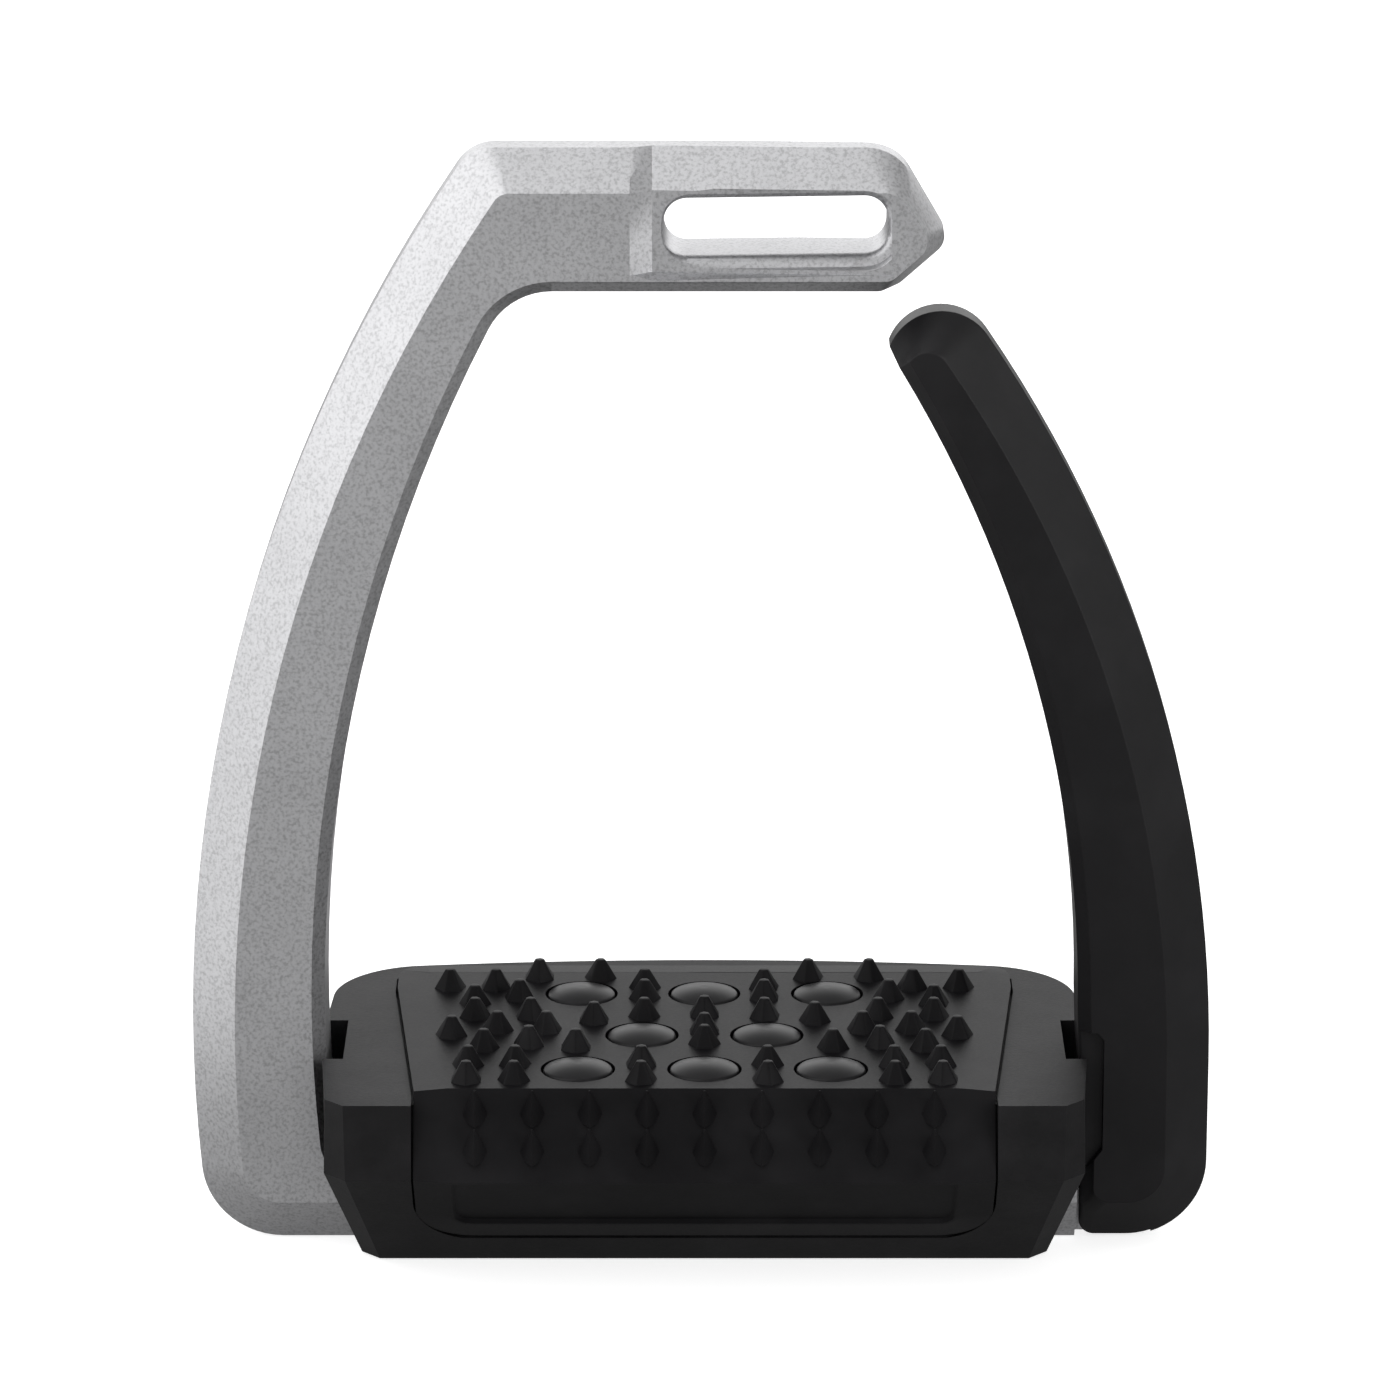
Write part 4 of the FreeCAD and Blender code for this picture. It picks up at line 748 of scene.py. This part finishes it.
def stand_front_spikes(spikes, places):
    """Pointed four-sided spikes on the upper front, swept upwards, an edge forwards."""
    ridge_back, ridge_up = places["ridge"]
    run = Vector((0, ridge_back - places["front"], ridge_up - places["top"]))
    normal = Vector((0, run.z, -run.y)).normalized()
    edge = Vector((0, places["front"], places["top"]))
    solid_spike = forward_axis(spikes.solid_rise) * spikes.solid_height
    reach = solid_spike.dot(normal)
    axis = forward_axis(spikes.front_rise)
    front_soft = 0.3 * spikes.soft
    pattern = model_spike("front_spike", spikes.front_sides, spikes.front_base,
                          spikes.front_tip, spikes.front_height, front_soft)
    tips = [tip for tip in spike_tips(edge, normal, reach, slack=0.15)
            if tip.z < places["top"]]
    stood = [stand_copy(pattern, tip - solid_spike, axis, 0) for tip in tips]
    bpy.data.objects.remove(pattern)
    return stood


class STIRRUP_OT_grip_pad(Operator):
    """Grip pad folded over the tread's front, with its spikes, panel and button bores"""

    bl_idname = "stirrup.grip_pad"
    bl_label = "Grip pad"

    def execute(self, context):
        sizes = context.scene.stirrup_pad
        spikes = context.scene.stirrup_spikes
        places = pad_places(sizes, spikes)
        piece = model_pad_skin(sizes, places)
        apply_modifier(piece, "SOLIDIFY", "wall", thickness=sizes.thickness, offset=-1)
        bore_for_buttons(piece, sizes.button_gap)
        soften(piece, context.scene.stirrup_edges.moulding_edge, PAD_EDGE_ANGLE)
        stood = stand_deck_spikes(spikes, places) + stand_front_spikes(spikes, places)
        piece = join_pieces([piece] + stood, "grip_pad_moulding")
        bpy.ops.object.shade_smooth_by_angle(angle=CREASE)
        material = moulded_nylon("satin_grip_nylon", context.scene.stirrup_finishes.pad_nylon,
                                 grain=0.5, depth=0.02, roughness=0.46, mottle=0.12,
                                 gloss=0.12)
        finish_piece(piece, "frame", material, "pad_composite", "grip_pad")
        return {"FINISHED"}


def button_nodes():
    """The CAD nodes of the domed buttons, in order."""
    return sorted(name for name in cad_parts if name.startswith("dome_button_"))


def model_button(name, low, high, crown):
    """A domed button: a round stem whose top is raised ring by ring into a dome."""
    deselect_all()
    sides = 56
    rings = 10
    radius = (high.x - low.x) / 2
    middle = (low + high) / 2
    bpy.ops.mesh.primitive_circle_add(vertices=sides, radius=radius, fill_type="NGON",
                                      location=(middle.x, middle.y, low.z))
    piece = named_active(name)
    place_in_mesh(piece)
    bpy.ops.object.mode_set(mode="EDIT")
    bpy.ops.mesh.select_all(action="SELECT")
    stem = high.z - crown - low.z
    bpy.ops.mesh.extrude_region_move(TRANSFORM_OT_translate={"value": (0, 0, stem)})
    ball = (radius ** 2 + crown ** 2) / (2 * crown)
    for ring in range(rings - 1):
        inner = radius * (1 - (ring + 1) / rings)
        outer = radius * (1 - ring / rings)
        rise = math.sqrt(ball ** 2 - inner ** 2) - math.sqrt(ball ** 2 - outer ** 2)
        bpy.ops.mesh.inset(thickness=outer - inner, depth=rise)
    bpy.ops.mesh.select_all(action="SELECT")
    bpy.ops.mesh.normals_make_consistent(inside=False)
    bpy.ops.object.mode_set(mode="OBJECT")
    return piece


class STIRRUP_OT_buttons(Operator):
    """Domed elastic buttons in the grip pad"""

    bl_idname = "stirrup.buttons"
    bl_label = "Domed buttons"

    def execute(self, context):
        material = soft_rubber("moulded_elastomer", context.scene.stirrup_finishes.rubber)
        crown = context.scene.stirrup_edges.button_crown
        for number, node in enumerate(button_nodes(), start=1):
            low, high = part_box(node)
            piece = model_button(f"elastic_button_{number}", low, high, crown)
            soften(piece, context.scene.stirrup_edges.moulding_edge, BUTTON_EDGE_ANGLE)
            finish_piece(piece, "frame", material, "button_rubber", node)
        return {"FINISHED"}


class STIRRUP_OT_hardware(Operator):
    """Finishes of the screws, inserts, hinge pin, bush, springs, stop pad and cushion"""

    bl_idname = "stirrup.hardware"
    bl_label = "Fasteners and hinge"

    def execute(self, context):
        steel = turned_metal("stainless_steel", "#BDBDBE", roughness=0.28, groove=0.4)
        ground = turned_metal("ground_steel", "#C6C6C8", roughness=0.2, groove=0.3)
        bronze = turned_metal("turned_bronze", "#B88A52", roughness=0.32, groove=0.35)
        brass = turned_metal("turned_brass", "#C9A45C", roughness=0.3, groove=0.4)
        elastomer = soft_rubber("moulded_cushion_rubber", "#1F1F20")
        finishes = {
            "crossbar_screws": steel,
            "pad_screws": steel,
            "hinge_pin": ground,
            "return_spring_front": ground,
            "return_spring_rear": ground,
            "hinge_bush": bronze,
            "threaded_inserts": brass,
            "stop_pad": elastomer,
            "cushion": elastomer,
        }
        for node, material in finishes.items():
            dress(node, material)
        return {"FINISHED"}


def add_light(name, place, target, width, height, power):
    """A soft rectangular studio light of this power in watts, that points at a target."""
    data = bpy.data.lights.new(name, "AREA")
    data.shape = "RECTANGLE"
    data.size = width
    data.size_y = height
    data.energy = power
    light = bpy.data.objects.new(name, data)
    bpy.context.scene.collection.objects.link(light)
    light.location = place
    aim = Vector(target) - Vector(place)
    light.rotation_euler = aim.to_track_quat("-Z", "Y").to_euler()


def pale_floor():
    """White studio paper: seen white, bright in reflections, and dimmer as a fill."""
    reflected_glow = 0.18
    seen_glow = 0.72
    fill_paper = colour("#7C7C7C")
    seen_paper = colour("#F4F4F4")
    material, tree, shader = new_material("pale_studio_floor")[:3]
    path = tree.nodes.new("ShaderNodeLightPath").outputs
    reflected = spread(tree, path["Is Glossy Ray"], 0.0, reflected_glow)
    seen = spread(tree, path["Is Camera Ray"], reflected, seen_glow)
    paper = lighter(tree, path["Is Camera Ray"], fill_paper, seen_paper)
    tree.links.new(paper, shader.inputs["Base Color"])
    shader.inputs["Roughness"].default_value = 0.9
    shader.inputs["Specular IOR Level"].default_value = 0.0
    shader.inputs["Emission Color"].default_value = (1, 1, 1, 1)
    tree.links.new(seen, shader.inputs["Emission Strength"])
    return material


def make_studio_world(scene):
    """White behind the object, and a dimmer, even fill for what the object reflects."""
    world = bpy.data.worlds.new("studio")
    scene.world = world
    world.use_nodes = True
    tree = world.node_tree
    tree.nodes.clear()
    seen = tree.nodes.new("ShaderNodeLightPath").outputs["Is Camera Ray"]
    fill_strength = 0.45
    seen_strength = 1.0
    strength = spread(tree, seen, fill_strength, seen_strength)
    sky = add_node(tree, "ShaderNodeBackground", Color=(1, 1, 1, 1), Strength=strength)
    add_node(tree, "ShaderNodeOutputWorld", Surface=sky)


def hang_lights(middle):
    """Softboxes on four sides and above, and a reflector that lies on the floor."""
    add_light("left_softbox", (-1.0, -0.35, 0.9), middle, width=1.2, height=2.6, power=12.5)
    add_light("right_softbox", (0.95, -0.75, 0.35), middle, width=0.6, height=0.9, power=4.5)
    add_light("front_softbox", (0.0, -2.2, 0.7), middle, width=1.8, height=1.2, power=3.5)
    add_light("back_softbox", (0.0, 1.5, 0.55), middle, width=2.2, height=0.8, power=7.6)
    add_light("low_reflector", (-0.6, 0.0, 0.005), (-0.6, 0.0, 1.0),
              width=0.9, height=0.9, power=1.6)
    add_light("top_softbox", (0.0, 0.1, 1.0), middle, width=0.9, height=0.6, power=0.7)


def set_up_camera(scene, sizes):
    """A long lens that looks down a little at the object's front."""
    data = bpy.data.cameras.new("camera")
    data.lens = sizes.lens
    data.sensor_width = SENSOR_WIDTH
    data.clip_start = 0.01
    data.clip_end = 20.0
    camera = bpy.data.objects.new("camera", data)
    scene.collection.objects.link(camera)
    camera.location = sizes.camera_place
    camera.rotation_euler = (math.radians(90) - sizes.camera_pitch, 0, 0)
    scene.camera = camera


class STIRRUP_OT_stage(Operator):
    """Pale floor, soft studio lights and the camera"""

    bl_idname = "stirrup.stage"
    bl_label = "Stage"

    def execute(self, context):
        sizes = context.scene.stirrup_stage
        deselect_all()
        floor_height = -0.3 * MM
        bpy.ops.mesh.primitive_plane_add(size=sizes.floor_size, location=(0, 0, floor_height))
        floor = named_active("floor")
        place_in_mesh(floor)
        floor.data.materials.append(pale_floor())

        make_studio_world(context.scene)
        hang_lights(LIGHT_TARGET)
        set_up_camera(context.scene, sizes)
        context.scene.view_settings.view_transform = "Standard"
        return {"FINISHED"}


class STIRRUP_PT_panel(Panel):
    """Buttons and sizes for every piece"""

    bl_idname = "STIRRUP_PT_panel"
    bl_label = "Stirrup iron"
    bl_space_type = "VIEW_3D"
    bl_region_type = "UI"
    bl_category = "Stirrup"

    def draw(self, context):
        for settings in GROUPS:
            group = getattr(context.scene, settings)
            box = self.layout.box()
            for name in group.bl_rna.properties.keys():
                if name not in {"rna_type", "name"}:
                    box.prop(group, name)
        for operator in OPERATORS:
            self.layout.operator(operator.bl_idname)


GROUPS = {
    "stirrup_edges": EdgeSizes,
    "stirrup_pad": PadSizes,
    "stirrup_spikes": SpikeSizes,
    "stirrup_finishes": Finishes,
    "stirrup_stage": StageSizes,
}
OPERATORS = (
    STIRRUP_OT_frame,
    STIRRUP_OT_release_arm,
    STIRRUP_OT_tread_casing,
    STIRRUP_OT_grip_pad,
    STIRRUP_OT_buttons,
    STIRRUP_OT_hardware,
    STIRRUP_OT_stage,
)


def register():
    """Register the settings, the operators and the panel."""
    for name, group in GROUPS.items():
        bpy.utils.register_class(group)
        setattr(bpy.types.Scene, name, PointerProperty(type=group))
    for operator in OPERATORS:
        bpy.utils.register_class(operator)
    bpy.utils.register_class(STIRRUP_PT_panel)


def unregister():
    """Take away what register added."""
    bpy.utils.unregister_class(STIRRUP_PT_panel)
    for operator in reversed(OPERATORS):
        bpy.utils.unregister_class(operator)
    for name, group in GROUPS.items():
        delattr(bpy.types.Scene, name)
        bpy.utils.unregister_class(group)


def main():
    """Make every piece in order."""
    register()
    bpy.ops.stirrup.frame()
    bpy.ops.stirrup.release_arm()
    bpy.ops.stirrup.tread_casing()
    bpy.ops.stirrup.grip_pad()
    bpy.ops.stirrup.buttons()
    bpy.ops.stirrup.hardware()
    bpy.ops.stirrup.stage()


if __name__ == "__main__":
    main()
